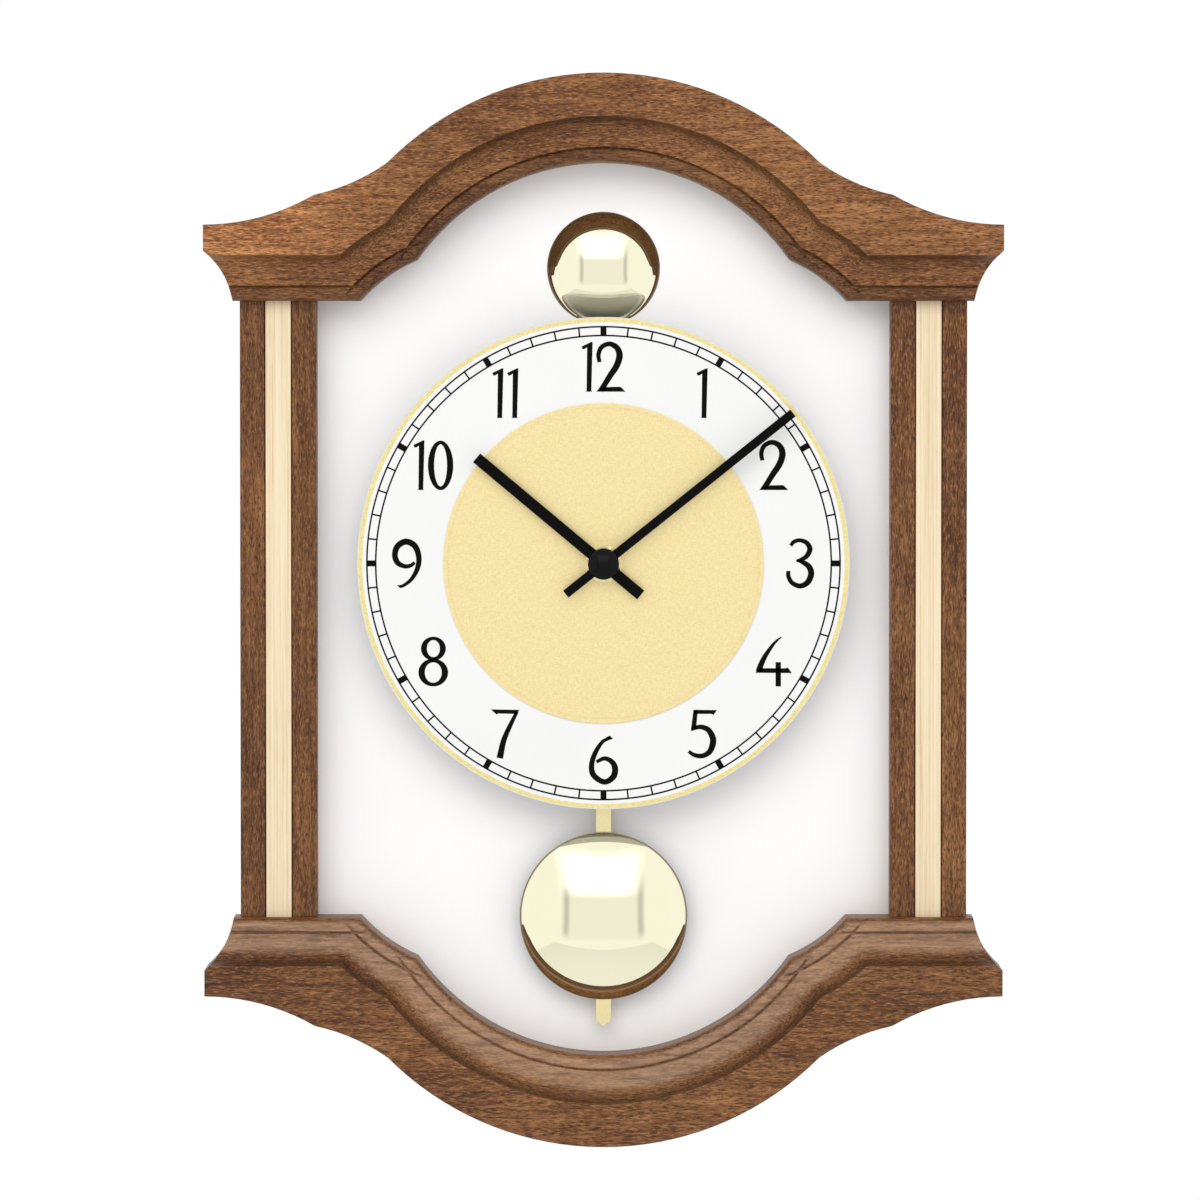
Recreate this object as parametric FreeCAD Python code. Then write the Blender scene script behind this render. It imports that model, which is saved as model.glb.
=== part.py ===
import FreeCAD
import Part
import math
import os
from FreeCAD import Vector

# Wall clock with a pendulum quartz movement, in millimetres.
#
# The case is drawn about its own middle: X runs right, Z runs up, and the wall is
# the plane Y = 0.  Depths count from the wall towards the room, so a point at
# depth d has Y = -d.  save() shifts each piece so that the origin becomes the
# centre of the hanger's round entry, where the clock hangs on its screw.

# --- Case -------------------------------------------------------------------
LIP_Z = 98.0                # half the height of the opening at its shoulders
CREST_RISE = 72.0           # crest apex above its lip; the case is 340 high
CREST_BACK = 26.0           # depths of the moulded crest boards
CREST_FRONT = 52.0
END_FACE_X = 126.4          # half the width of the case
END_FOOT = (117.6, 0.0)     # (x, height above lip) where the hollowed end starts
END_KINK = (END_FACE_X, 15.9)
END_TOP = (END_FACE_X, 24.1)
END_HOLLOW_RADIUS = 25.9
SHOULDER_KINK = (91.4, 33.5)
SHOULDER_MID = (79.5, 37.3)
ARCH_FOOT_X = 68.3
OUTER_ARCH_RADIUS = 96.3
INNER_ARCH_RADIUS = 72.2
INNER_ARCH_RISE = 43.9
LIP_CORNER = (77.3, 0.0)
LIP_KINK_X = 59.2
LIP_HOLLOW_RADIUS = 50.4
EDGE_EASE = 0.4             # eased edges round the front of the crest boards

# --- Moulding along the crest's lip (recess behind the front, height above lip)
MOULD_WIDTH = 14.5
COVE_DEPTH = 8.6
QUIRK_DEPTH = 1.0
QUIRK_TOP = 4.9
QUIRK_FOOT = 4.2
BEAD_RECESS = 8.9
LIP_RECESS = 12.0

# --- Columns, rails and panel -----------------------------------------------
COLUMN_INNER_X = 91.2
COLUMN_OUTER_X = 115.5
COLUMN_FRONT = 37.0
COLUMN_TENON_Z = 118.0      # the columns run this high behind the crest boards
INLAY_X = (COLUMN_INNER_X + COLUMN_OUTER_X) / 2
INLAY_WIDTH = 8.0
INLAY_GROOVE = 8.8
GROOVE_DEPTH = 2.6
PANEL_BACK = 23.0
PANEL_FRONT = 26.0
PANEL_HALF_WIDTH = 93.9
PANEL_HALF_HEIGHT = 122.0
PANEL_ARCH_RADIUS = 82.0
RAIL_HALF_WIDTH = 94.2
RAIL_LOW = 98.0
RAIL_HIGH = 122.0
DOWEL_RADIUS = 3.0
CASE_SCREW_XS = (84.0, 104.0)
CASE_SCREW_Z = 110.0

# --- Hanger -----------------------------------------------------------------
HANGER_Z = 107.0            # keyhole entry above the middle of the case
HANGER_THICKNESS = 1.6
KEYHOLE_RADIUS = 4.5
KEYHOLE_SLOT = 2.25
KEYHOLE_TRAVEL = 8.0
HANGER_SCREW_X = 16.0

# --- Dial and hands ---------------------------------------------------------
ARBOR_Z = 14.8              # hand arbor above the middle of the case
DIAL_RADIUS = 78.2
DIAL_BACK = 38.0
DIAL_FRONT = 41.0
CENTER_DISC_RADIUS = 50.8
CENTER_DISC_THICKNESS = 0.5
CENTER_GROOVE_RADIUS = 49.4
WASHER_THICKNESS = 0.3
NUT_RADIUS = 5.85
NUT_HEIGHT = 2.2
HOUR_HAND = (52.4, 15.4, 3.6, 45.2)     # length, tail, width, depth of its back
MINUTE_HAND = (76.7, 15.3, 2.8, 47.2)
HAND_THICKNESS = 0.6
HOUR_ANGLE = -50.1          # degrees clockwise from twelve
MINUTE_ANGLE = 51.4
CAP_RADIUS = 4.9
CAP_HEIGHT = 2.9

# --- Upper half-ball and pendulum -------------------------------------------
DOME_Z = 108.4
DOME_RADIUS = 18.0
DOME_SLOPE = 45.0           # slope of the brass at the rim, in degrees
BOB_Z = -98.0
BOB_RADIUS = 26.7
BOB_RIM = 33.3
BOB_SLOPE = 38.0
SHEET = 0.6                 # pressed brass
PIVOT_RISE = 22.0           # pendulum pivot above the hand arbor
ROD_WIDTH = 4.8
ROD_BACK = 31.4
ROD_FRONT = 32.2
ROD_TOP = -25.0             # heights from the hand arbor
ROD_TIP = -148.4
HANGER_BACK = 28.8
HANGER_FRONT = 31.2
MAGNET_DROP = 22.0          # drive magnet below the hand arbor

# --- Movement (heights from the hand arbor) ---------------------------------
MOVE_HALF_WIDTH = 29.0
MOVE_LOW = -38.0
MOVE_HIGH = 31.0
MOVE_BACK = 4.0
MOVE_WALL = 1.5
BATTERY_DEPTH = 12.2        # battery axis
BATTERY_DROP = 28.5
BATTERY_RADIUS = 7.2
BUSH_RADIUS = 4.0
BUSH_BORE = 2.65
BUSH_END = 44.3
PLATEAU_FRONT = 27.5
BRIDGE_BACK = 12.6
BRIDGE_FRONT = 13.6
COVER_FRONT = 5.6
SPACER_RADIUS = 6.5

# --- Gears ------------------------------------------------------------------
MODULE_TIME = 0.24          # seconds pinion 8 with third wheel 60
TRAIN_DISTANCE = MODULE_TIME * (8 + 60) / 2
MODULE_CENTER = TRAIN_DISTANCE * 2 / (8 + 64)
MODULE_SECONDS = 0.45       # intermediate pinion 8 with seconds wheel 24
STEP_DISTANCE = MODULE_SECONDS * (8 + 24) / 2
MODULE_ROTOR = 0.2          # rotor pinion 6 with intermediate wheel 60
ROTOR_DISTANCE = MODULE_ROTOR * (6 + 60) / 2
MODULE_CANNON = 0.3         # cannon pinion 12, motion wheel 36, setting pinion 16
MOTION_DISTANCE = MODULE_CANNON * (12 + 36) / 2
SETTING_DISTANCE = MODULE_CANNON * (36 + 16) / 2
MODULE_HOUR = MOTION_DISTANCE * 2 / (10 + 40)
THIRD_ANGLE = 20.0          # directions from each wheel to the next, in degrees
STEP_ANGLE = 150.0
MOTION_ANGLE = -60.0
SETTING_ANGLE = -20.0

# --- Small sizes ------------------------------------------------------------
CASE_SCREW_RADIUS = 1.7
CASE_SCREW_HEAD = 3.6
CASE_SCREW_TIP = 40.0       # depth that the case screws reach
DOWEL_REACH = 8.0
INLAY_SET_BACK = 0.2
HANGER_HALF_WIDTH = 21.0
HANGER_DROP = 7.0
HANGER_RISE = 13.5
HANGER_SCREW_RADIUS = 1.5
POCKET_DEPTH = 13.0
STUD_RADIUS = 1.5
HOUR_TUBE = 2.55
HOUR_END = 46.0
MINUTE_TUBE = 1.6
MINUTE_END = 49.2
CAP_RIM = 0.8
PIN_RADIUS = 0.75
MAGNET_RADIUS = 4.0
MOVE_EAR_X = 31.5
BAY_TOP = -20.8             # top of the battery bay, from the hand arbor
BAY_FRONT = 20.0
COIL_X = -21.5
ROTOR_RADIUS = 3.0
PIVOT_RADIUS = 0.35         # wheel arbors of the time train
PIVOT_TAIL = 5.0
CLUTCH_RADIUS = 0.75
MOTION_POST = 0.5
SETTING_SHAFT = 1.2
SETTING_TIP = 24.5
BRIDGE_POSTS = ((-10.0, -14.0), (-12.0, 20.0), (11.0, 18.0))
PIVOT_Z = ARBOR_Z + PIVOT_RISE
MAGNET_Z = ARBOR_Z - MAGNET_DROP
HOOK_Z = ARBOR_Z - 29.0     # peg that carries the pendulum rod


# --- Drawing helpers --------------------------------------------------------
def at(x, depth, z):
    return Vector(x, -depth, z)


def save(name, shape):
    piece = shape.copy()
    piece.translate(Vector(0, 0, -HANGER_Z))
    piece.exportStep("parts/" + name + ".step")


def block(x0, x1, d0, d1, z0, z1):
    return Part.makeBox(x1 - x0, d1 - d0, z1 - z0, at(x0, d1, z0))


def rod(radius, d0, d1, x=0.0, z=0.0):
    """A cylinder that runs from depth d0 to depth d1."""
    return Part.makeCylinder(radius, d1 - d0, at(x, d0, z), Vector(0, -1, 0))


def tube(outer, inner, d0, d1, x=0.0, z=0.0):
    return rod(outer, d0, d1, x, z).cut(rod(inner, d0 - 1, d1 + 1, x, z))


def ball_solid(radius, depth, z):
    """A ball on the clock's centre line whose poles point to the wall and the room."""
    return Part.makeSphere(radius, at(0, depth, z), Vector(0, -1, 0))


def line(p, q):
    return Part.LineSegment(at(p[0], 0, p[1]), at(q[0], 0, q[1])).toShape()


def arc_through(p, mid, q):
    points = [at(x, 0, z) for x, z in (p, mid, q)]
    return Part.Arc(*points).toShape()


def arc_about(centre, p, q):
    """The short arc from p to q round a centre."""
    radius = math.dist(centre, p)
    mid_x = p[0] + q[0] - 2 * centre[0]
    mid_z = p[1] + q[1] - 2 * centre[1]
    scale = radius / math.hypot(mid_x, mid_z)
    return arc_through(p, (centre[0] + mid_x * scale, centre[1] + mid_z * scale), q)


def centre_left_of(p, q, radius):
    """The centre of the arc from p to q that lies left of the way from p to q."""
    dx, dz = q[0] - p[0], q[1] - p[1]
    chord = math.hypot(dx, dz)
    reach = math.sqrt(radius ** 2 - chord ** 2 / 4)
    return (p[0] + dx / 2 - dz / chord * reach, p[1] + dz / 2 + dx / chord * reach)


def plate(edges, d0, d1):
    """A flat piece with the given outline, from depth d0 to depth d1."""
    wire = Part.Wire(Part.sortEdges(edges)[0])
    wire.translate(at(0, d0, 0))
    return Part.Face(wire).extrude(at(0, d1 - d0, 0))


def polygon(points, d0, d1):
    corners = [at(x, d0, z) for x, z in points]
    return Part.Face(Part.makePolygon(corners + corners[:1])).extrude(at(0, d1 - d0, 0))


def flip_x(shape):
    return shape.mirror(Vector(0, 0, 0), Vector(1, 0, 0))


def flip_z(shape):
    return shape.mirror(Vector(0, 0, 0), Vector(0, 0, 1))


def turned(shape, degrees, x=0.0, z=0.0):
    """The shape turned clockwise, as seen from the room, about the point (x, z)."""
    copy = shape.copy()
    copy.rotate(at(x, 0, z), Vector(0, 1, 0), degrees)
    return copy


def four_corners(shape):
    """The shape and its three mirror images, as one group of solids."""
    pair = [shape, flip_x(shape)]
    return pair + [flip_z(each) for each in pair]


def fused(first, *others):
    return first.multiFuse(list(others)).removeSplitter()


def polar(distance, degrees, start=(0.0, 0.0)):
    turn = math.radians(degrees)
    return (start[0] + distance * math.cos(turn), start[1] + distance * math.sin(turn))


# --- Crest boards -----------------------------------------------------------
def raised(point):
    """A point given above the lip, as a point of the top crest."""
    return (point[0], point[1] + LIP_Z)


def arch_height(x, apex, radius):
    return LIP_Z + apex - radius + math.sqrt(radius ** 2 - x ** 2)


def lip_kink():
    """Where the opening's big arch meets the small hollow at its shoulder."""
    return (LIP_KINK_X, arch_height(LIP_KINK_X, INNER_ARCH_RISE, INNER_ARCH_RADIUS))


def lip_hollow_centre():
    return centre_left_of(raised(LIP_CORNER), lip_kink(), LIP_HOLLOW_RADIUS)


def half_outline():
    """Right-hand edges of the top crest's outline, between its two arches."""
    foot, kink, top = raised(END_FOOT), raised(END_KINK), raised(END_TOP)
    corner, shoulder = raised(LIP_CORNER), raised(SHOULDER_KINK)
    arch_foot = (ARCH_FOOT_X, arch_height(ARCH_FOOT_X, CREST_RISE, OUTER_ARCH_RADIUS))
    rise = shoulder[1] - top[1]
    sweep_radius = ((top[0] - shoulder[0]) ** 2 + rise ** 2) / (2 * rise)
    return [
        arc_about(lip_hollow_centre(), lip_kink(), corner),
        line(corner, foot),
        arc_about(centre_left_of(kink, foot, END_HOLLOW_RADIUS), foot, kink),
        line(kink, top),
        arc_about((top[0], top[1] + sweep_radius), top, shoulder),
        arc_through(shoulder, raised(SHOULDER_MID), arch_foot),
    ]


def crest_blank():
    right = half_outline()
    left = [flip_x(edge) for edge in right]
    arch_z = arch_height(ARCH_FOOT_X, CREST_RISE, OUTER_ARCH_RADIUS)
    kink_x, kink_z = lip_kink()
    outer = arc_through((ARCH_FOOT_X, arch_z), (0, LIP_Z + CREST_RISE), (-ARCH_FOOT_X, arch_z))
    inner = arc_through((-kink_x, kink_z), (0, LIP_Z + INNER_ARCH_RISE), (kink_x, kink_z))
    return plate(right + left + [outer, inner], CREST_BACK, CREST_FRONT)


def moulding_section(to_point):
    """The waste cut away along the lip: a cove, a quirk and a rounded bead."""
    face = CREST_FRONT
    clear = 2.0
    cove_end = face - COVE_DEPTH
    cove_mid = (face - COVE_DEPTH * math.sin(math.pi / 4),
                QUIRK_TOP + (MOULD_WIDTH - QUIRK_TOP) * math.cos(math.pi / 4))
    bead_mid = (face - BEAD_RECESS - 0.9, QUIRK_FOOT * 0.28)
    corners = [(cove_end, QUIRK_TOP), (cove_end - QUIRK_DEPTH, QUIRK_TOP),
               (cove_end - QUIRK_DEPTH, QUIRK_FOOT), (face - BEAD_RECESS, QUIRK_FOOT)]
    outside = [(face - LIP_RECESS, 0), (face - LIP_RECESS, -clear), (face + clear, -clear),
               (face + clear, MOULD_WIDTH), (face, MOULD_WIDTH)]
    cove = Part.Arc(to_point(*outside[-1]), to_point(*cove_mid), to_point(*corners[0]))
    bead = Part.Arc(to_point(*corners[-1]), to_point(*bead_mid), to_point(*outside[0]))
    edges = Part.makePolygon([to_point(*p) for p in corners]).Edges
    edges += Part.makePolygon([to_point(*p) for p in outside]).Edges
    return Part.Face(Part.Wire(Part.sortEdges(edges + [cove.toShape(), bead.toShape()])[0]))


def straight_waste(x0, x1):
    section = moulding_section(lambda depth, height: at(x0, depth, LIP_Z + height))
    return section.extrude(Vector(x1 - x0, 0, 0))


def round_waste(centre, radius, start, end):
    """The same waste along an arc, between two angles counted from +X towards +Z."""
    def to_point(depth, height):
        return at(centre[0] + radius + height, depth, centre[1])
    section = moulding_section(to_point)
    section.rotate(at(centre[0], 0, centre[1]), Vector(0, -1, 0), start)
    return section.revolve(at(centre[0], 0, centre[1]), Vector(0, -1, 0), end - start)


def direction(centre, point):
    return math.degrees(math.atan2(point[1] - centre[1], point[0] - centre[0]))


def moulding_waste():
    """The right-hand runs of the moulding; each passes its corners, so that they meet in mitres."""
    overrun = 25.0
    hollow = lip_hollow_centre()
    arch = (0.0, LIP_Z + INNER_ARCH_RISE - INNER_ARCH_RADIUS)
    arch_start = direction(arch, lip_kink())
    small = round_waste(hollow, LIP_HOLLOW_RADIUS, direction(hollow, raised(LIP_CORNER)) - overrun,
                        direction(hollow, lip_kink()) + overrun)
    straight = straight_waste(LIP_KINK_X, END_FACE_X + 2)
    big = round_waste(arch, INNER_ARCH_RADIUS, arch_start - overrun, 180 - arch_start + overrun)
    return [big, small, straight]


def case_screw_axes():
    return [(x, CASE_SCREW_Z) for x in CASE_SCREW_XS]


def is_front_rim(edge):
    """True for the front edges of a crest board, apart from those of its opening."""
    box = edge.BoundBox
    on_front = box.YMax < 0.01 - CREST_FRONT
    on_arch = abs(box.ZMax - LIP_Z - INNER_ARCH_RISE) < 0.01
    return on_front and box.ZMax > LIP_Z + MOULD_WIDTH and not on_arch


def make_crests():
    """The right half is shaped first; the left half is its mirror image."""
    crest = crest_blank()
    crest = crest.makeFillet(EDGE_EASE, [edge for edge in crest.Edges if is_front_rim(edge)])
    for waste in moulding_waste():
        crest = crest.cut(waste)
    for x, z in case_screw_axes():
        crest = crest.cut(rod(CASE_SCREW_RADIUS, CREST_BACK - 1, CASE_SCREW_TIP, x, z))
    right_side = block(0, END_FACE_X + 1, CREST_BACK - 1, CREST_FRONT + 1, LIP_Z - 1, LIP_Z + CREST_RISE + 1)
    right = crest.cut(dowel_solid()).common(right_side)
    crest = fused(right, flip_x(right))
    save("top_crest", crest)
    save("bottom_crest", flip_z(crest))


# --- Columns, rails, panel --------------------------------------------------
def dowel_solid():
    depth = (PANEL_FRONT + COLUMN_FRONT - GROOVE_DEPTH) / 2
    foot = at(INLAY_X, depth, LIP_Z - DOWEL_REACH)
    return Part.makeCylinder(DOWEL_RADIUS, 2 * DOWEL_REACH, foot, Vector(0, 0, 1))


def column_solid():
    shaft = block(COLUMN_INNER_X, COLUMN_OUTER_X, 0, COLUMN_FRONT, -LIP_Z, LIP_Z)
    tenon = block(COLUMN_INNER_X, COLUMN_OUTER_X, 0, CREST_BACK, -COLUMN_TENON_Z, COLUMN_TENON_Z)
    rebate = block(COLUMN_INNER_X - 1, RAIL_HALF_WIDTH, -1, PANEL_FRONT, -150, 150)
    groove = block(INLAY_X - INLAY_GROOVE / 2, INLAY_X + INLAY_GROOVE / 2,
                   COLUMN_FRONT - GROOVE_DEPTH, COLUMN_FRONT + 1, -150, 150)
    column = fused(shaft, tenon).cut(rebate).cut(groove)
    screw = case_screw(CASE_SCREW_XS[1], CASE_SCREW_Z)
    for cutter in (dowel_solid(), flip_z(dowel_solid()), screw, flip_z(screw)):
        column = column.cut(cutter)
    return column


def case_screw(x, z):
    """A countersunk screw that passes the rail or column into the crest board."""
    head = Part.makeCone(CASE_SCREW_HEAD, CASE_SCREW_RADIUS, CASE_SCREW_HEAD - CASE_SCREW_RADIUS,
                         at(x, 0, z), Vector(0, -1, 0))
    return fused(head, rod(CASE_SCREW_RADIUS, 0.5, CASE_SCREW_TIP, x, z))


def rail_solid():
    rail = block(-RAIL_HALF_WIDTH, RAIL_HALF_WIDTH, 0, PANEL_BACK, RAIL_LOW, RAIL_HIGH)
    screw = case_screw(CASE_SCREW_XS[0], CASE_SCREW_Z)
    return rail.cut(screw).cut(flip_x(screw))


def panel_solid():
    panel = block(-PANEL_HALF_WIDTH, PANEL_HALF_WIDTH, PANEL_BACK, PANEL_FRONT,
                  -PANEL_HALF_HEIGHT, PANEL_HALF_HEIGHT)
    arch_z = LIP_Z + INNER_ARCH_RISE - INNER_ARCH_RADIUS
    arches = [rod(PANEL_ARCH_RADIUS, PANEL_BACK, PANEL_FRONT, 0, z) for z in (arch_z, -arch_z)]
    panel = fused(panel, *arches)
    window = plateau_block(PANEL_BACK - 1, PANEL_FRONT + 1, 0.3)
    panel = panel.cut(window).cut(rod(STUD_RADIUS, PANEL_BACK - 1, PANEL_FRONT + 1, 0, DOME_Z))
    screw = case_screw(CASE_SCREW_XS[0], CASE_SCREW_Z)
    for cutter in four_corners(screw) + movement_screws():
        panel = panel.cut(cutter)
    return panel


def make_case():
    column = column_solid()
    save("right_column", column)
    save("left_column", flip_x(column))
    inlay = block(INLAY_X - INLAY_WIDTH / 2, INLAY_X + INLAY_WIDTH / 2,
                  COLUMN_FRONT - GROOVE_DEPTH, COLUMN_FRONT - INLAY_SET_BACK, -LIP_Z, LIP_Z)
    save("right_inlay_strip", inlay)
    save("left_inlay_strip", flip_x(inlay))
    save("column_dowels", Part.makeCompound(four_corners(dowel_solid())))
    nut_pocket = rod(STUD_RADIUS * 3, 18.0, PANEL_BACK + 1, 0, DOME_Z)
    save("top_rail", rail_solid().cut(hanger_pocket()).cut(nut_pocket))
    save("bottom_rail", flip_z(rail_solid()))
    save("back_panel", panel_solid())
    screws = [each for x, z in case_screw_axes() for each in four_corners(case_screw(x, z))]
    save("case_screws", Part.makeCompound(screws))


# --- Hanger -----------------------------------------------------------------
def hanger_blank():
    return block(-HANGER_HALF_WIDTH, HANGER_HALF_WIDTH, 0, HANGER_THICKNESS,
                 HANGER_Z - HANGER_DROP, HANGER_Z + HANGER_RISE)


def keyhole(d0, d1, entry, slot):
    travel = block(-slot, slot, d0, d1, HANGER_Z, HANGER_Z + KEYHOLE_TRAVEL)
    return fused(rod(entry, d0, d1, 0, HANGER_Z), travel,
                 rod(slot, d0, d1, 0, HANGER_Z + KEYHOLE_TRAVEL))


def hanger_screws():
    axes = [(-HANGER_SCREW_X, HANGER_Z + 3), (HANGER_SCREW_X, HANGER_Z + 3)]
    return [rod(HANGER_SCREW_RADIUS, 0, 14, x, z) for x, z in axes]


def hanger_pocket():
    """Recess for the plate, room behind the keyhole for a screw head, screw pilots."""
    room = keyhole(HANGER_THICKNESS - 0.1, POCKET_DEPTH, KEYHOLE_RADIUS + 1.5, KEYHOLE_RADIUS + 0.5)
    return fused(hanger_blank(), room, *hanger_screws())


def make_hanger():
    plate_solid = hanger_blank().cut(keyhole(-1, HANGER_THICKNESS + 1, KEYHOLE_RADIUS, KEYHOLE_SLOT))
    for screw in hanger_screws():
        plate_solid = plate_solid.cut(screw)
    save("hanger_plate", plate_solid)
    save("hanger_screws", Part.makeCompound(hanger_screws()))


# --- Domes ------------------------------------------------------------------
def dome_shell(radius, rim_depth, z, slope):
    """A pressed spherical cap whose surface meets its rim at the given slope."""
    ball = radius / math.sin(math.radians(slope))
    centre = rim_depth - ball * math.cos(math.radians(slope))
    outer = ball_solid(ball, centre, z)
    inner = ball_solid(ball - SHEET, centre, z)
    room_side = block(-50, 50, rim_depth, rim_depth + 50, z - 50, z + 50)
    return outer.common(room_side).cut(inner)


def dome_height(radius, slope):
    """Height of the cap: radius times the tangent of half its slope."""
    return radius * math.tan(math.radians(slope) / 2)


def hexagon(radius, d0, d1, x, z):
    corners = [polar(radius, 60 * k, (x, z)) for k in range(6)]
    return polygon(corners, d0, d1)


def make_upper_dome():
    shell = dome_shell(DOME_RADIUS, PANEL_FRONT, DOME_Z, DOME_SLOPE)
    tip = PANEL_FRONT + dome_height(DOME_RADIUS, DOME_SLOPE) - SHEET - 0.1
    save("upper_dome", shell)
    save("dome_stud", rod(STUD_RADIUS, 18.5, tip, 0, DOME_Z))
    nut = hexagon(3.0, 20.6, PANEL_BACK, 0, DOME_Z)
    save("dome_nut", nut.cut(rod(STUD_RADIUS, 0, 30, 0, DOME_Z)))


# --- Dial and hands ---------------------------------------------------------
def make_dial():
    disc = tube(DIAL_RADIUS, BUSH_RADIUS + 0.1, DIAL_BACK, DIAL_FRONT, 0, ARBOR_Z)
    save("dial_glass", disc)
    front = DIAL_FRONT + CENTER_DISC_THICKNESS
    center = tube(CENTER_DISC_RADIUS, BUSH_RADIUS + 0.1, DIAL_FRONT, front, 0, ARBOR_Z)
    groove = tube(CENTER_GROOVE_RADIUS + 0.2, CENTER_GROOVE_RADIUS - 0.2,
                  front - 0.2, front + 1, 0, ARBOR_Z)
    save("dial_center_disc", center.cut(groove))
    nut_back = front + WASHER_THICKNESS
    save("dial_washer", tube(NUT_RADIUS - 0.3, BUSH_RADIUS, front, nut_back, 0, ARBOR_Z))
    nut = tube(NUT_RADIUS, BUSH_RADIUS, nut_back, nut_back + NUT_HEIGHT, 0, ARBOR_Z)
    for k in range(4):
        slot = block(-0.6, 0.6, nut_back + 0.8, nut_back + 3, ARBOR_Z + 5.0, ARBOR_Z + 7)
        nut = nut.cut(turned(slot, 20 + 90 * k, 0, ARBOR_Z))
    save("center_nut", nut)
    save("dial_spacer", tube(SPACER_RADIUS, BUSH_RADIUS, PLATEAU_FRONT, DIAL_BACK, 0, ARBOR_Z))


def hand(size, hub_radius, bore, angle):
    length, tail, width, back = size
    front = back + HAND_THICKNESS
    bar = block(-width / 2, width / 2, back, front, ARBOR_Z - tail, ARBOR_Z + length)
    collet = rod(bore + 0.8, back - 0.6, front, 0, ARBOR_Z)
    blank = fused(bar, rod(hub_radius, back, front, 0, ARBOR_Z), collet)
    return turned(blank.cut(rod(bore, back - 2, front + 1, 0, ARBOR_Z)), angle, 0, ARBOR_Z)


def cap_nut():
    """A domed nut that closes the end of the minute arbor."""
    ball = (CAP_RADIUS ** 2 + (CAP_HEIGHT - CAP_RIM) ** 2) / (2 * (CAP_HEIGHT - CAP_RIM))
    back = MINUTE_HAND[3] + HAND_THICKNESS + 0.1
    centre = back + CAP_HEIGHT - ball
    skirt = rod(CAP_RADIUS, back, back + CAP_HEIGHT, 0, ARBOR_Z)
    cap = skirt.common(ball_solid(ball, centre, ARBOR_Z))
    return cap.cut(rod(MINUTE_TUBE, back - 1, MINUTE_END + 0.05, 0, ARBOR_Z))


def make_hands():
    save("hour_hand", hand(HOUR_HAND, 4.4, HOUR_TUBE, HOUR_ANGLE))
    save("minute_hand", hand(MINUTE_HAND, 3.6, MINUTE_TUBE, MINUTE_ANGLE))
    save("cap_nut", cap_nut())


# --- Pendulum ---------------------------------------------------------------
def pendulum_hanger():
    """A plastic yoke that swings in front of the movement, round the dial spacer."""
    body = block(-14, 14, HANGER_BACK, HANGER_FRONT, ARBOR_Z - 34, ARBOR_Z + 27)
    uprights = [edge for edge in body.Edges if edge.BoundBox.YLength > 1
                and edge.BoundBox.XLength < 0.01 and edge.BoundBox.ZLength < 0.01]
    body = body.makeFillet(5.0, uprights)
    window = block(-10.4, 10.4, HANGER_BACK - 1, HANGER_FRONT + 1, ARBOR_Z - 12, ARBOR_Z + 13)
    peg = rod(1.4, HANGER_FRONT - 0.5, ROD_FRONT + 0.8, 0, HOOK_Z)
    body = body.cut(window).cut(rod(PIN_RADIUS + 0.05, 20, 40, 0, PIVOT_Z))
    return fused(body.cut(rod(MAGNET_RADIUS, 20, 40, 0, MAGNET_Z)), peg)


def pendulum_rod():
    half = ROD_WIDTH / 2
    top, tip = ARBOR_Z + ROD_TOP, ARBOR_Z + ROD_TIP
    outline = [(-half, top), (half, top), (half, tip + 2.0), (0, tip), (-half, tip + 2.0)]
    return polygon(outline, ROD_BACK, ROD_FRONT).cut(rod(1.4, 20, 40, 0, HOOK_Z))


def bob_clip():
    """A small bridge behind the bob that grips the rod."""
    half = ROD_WIDTH / 2
    bridge = block(-half - 3.5, half + 3.5, ROD_BACK - 0.5, ROD_BACK, BOB_Z - 4, BOB_Z + 4)
    leg = block(half + 0.1, half + 0.7, ROD_BACK - 0.5, BOB_RIM - 0.8, BOB_Z - 4, BOB_Z + 4)
    return fused(bridge, leg, flip_x(leg))


def make_pendulum():
    save("pendulum_hanger", pendulum_hanger())
    save("drive_magnet", rod(MAGNET_RADIUS, HANGER_BACK + 0.1, HANGER_FRONT - 0.1, 0, MAGNET_Z))
    save("pendulum_rod", pendulum_rod())
    save("bob_shell", dome_shell(BOB_RADIUS, BOB_RIM, BOB_Z, BOB_SLOPE))
    save("bob_backing", rod(BOB_RADIUS - 0.3, BOB_RIM - 0.8, BOB_RIM, 0, BOB_Z))
    save("bob_clip", bob_clip())
    save("pivot_pin", rod(PIN_RADIUS, PLATEAU_FRONT - 2.5, 33.5, 0, PIVOT_Z))
    save("pivot_clip", tube(2.4, PIN_RADIUS, 31.6, 32.2, 0, PIVOT_Z))


# --- Movement: the fixed pieces ---------------------------------------------
def move_block(x0, x1, d0, d1, low, high):
    """A block whose heights are counted from the hand arbor."""
    return block(x0, x1, d0, d1, ARBOR_Z + low, ARBOR_Z + high)


def plateau_block(d0, d1, grow):
    """The raised part of the movement's front, which fills the panel's window."""
    return move_block(-16 - grow, 16 + grow, d0, d1, -31 - grow, 29 + grow)


def movement_screws():
    """Four pan-head screws through the ears of the movement into the panel."""
    screws = []
    for x in (-MOVE_EAR_X, MOVE_EAR_X):
        for rise in (-18.0, 20.0):
            head = rod(2.4, PANEL_BACK - 3.9, PANEL_BACK - 2.5, x, ARBOR_Z + rise)
            shank = rod(1.1, PANEL_BACK - 3.0, PANEL_FRONT - 0.4, x, ARBOR_Z + rise)
            screws.append(fused(head, shank))
    return screws


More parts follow.
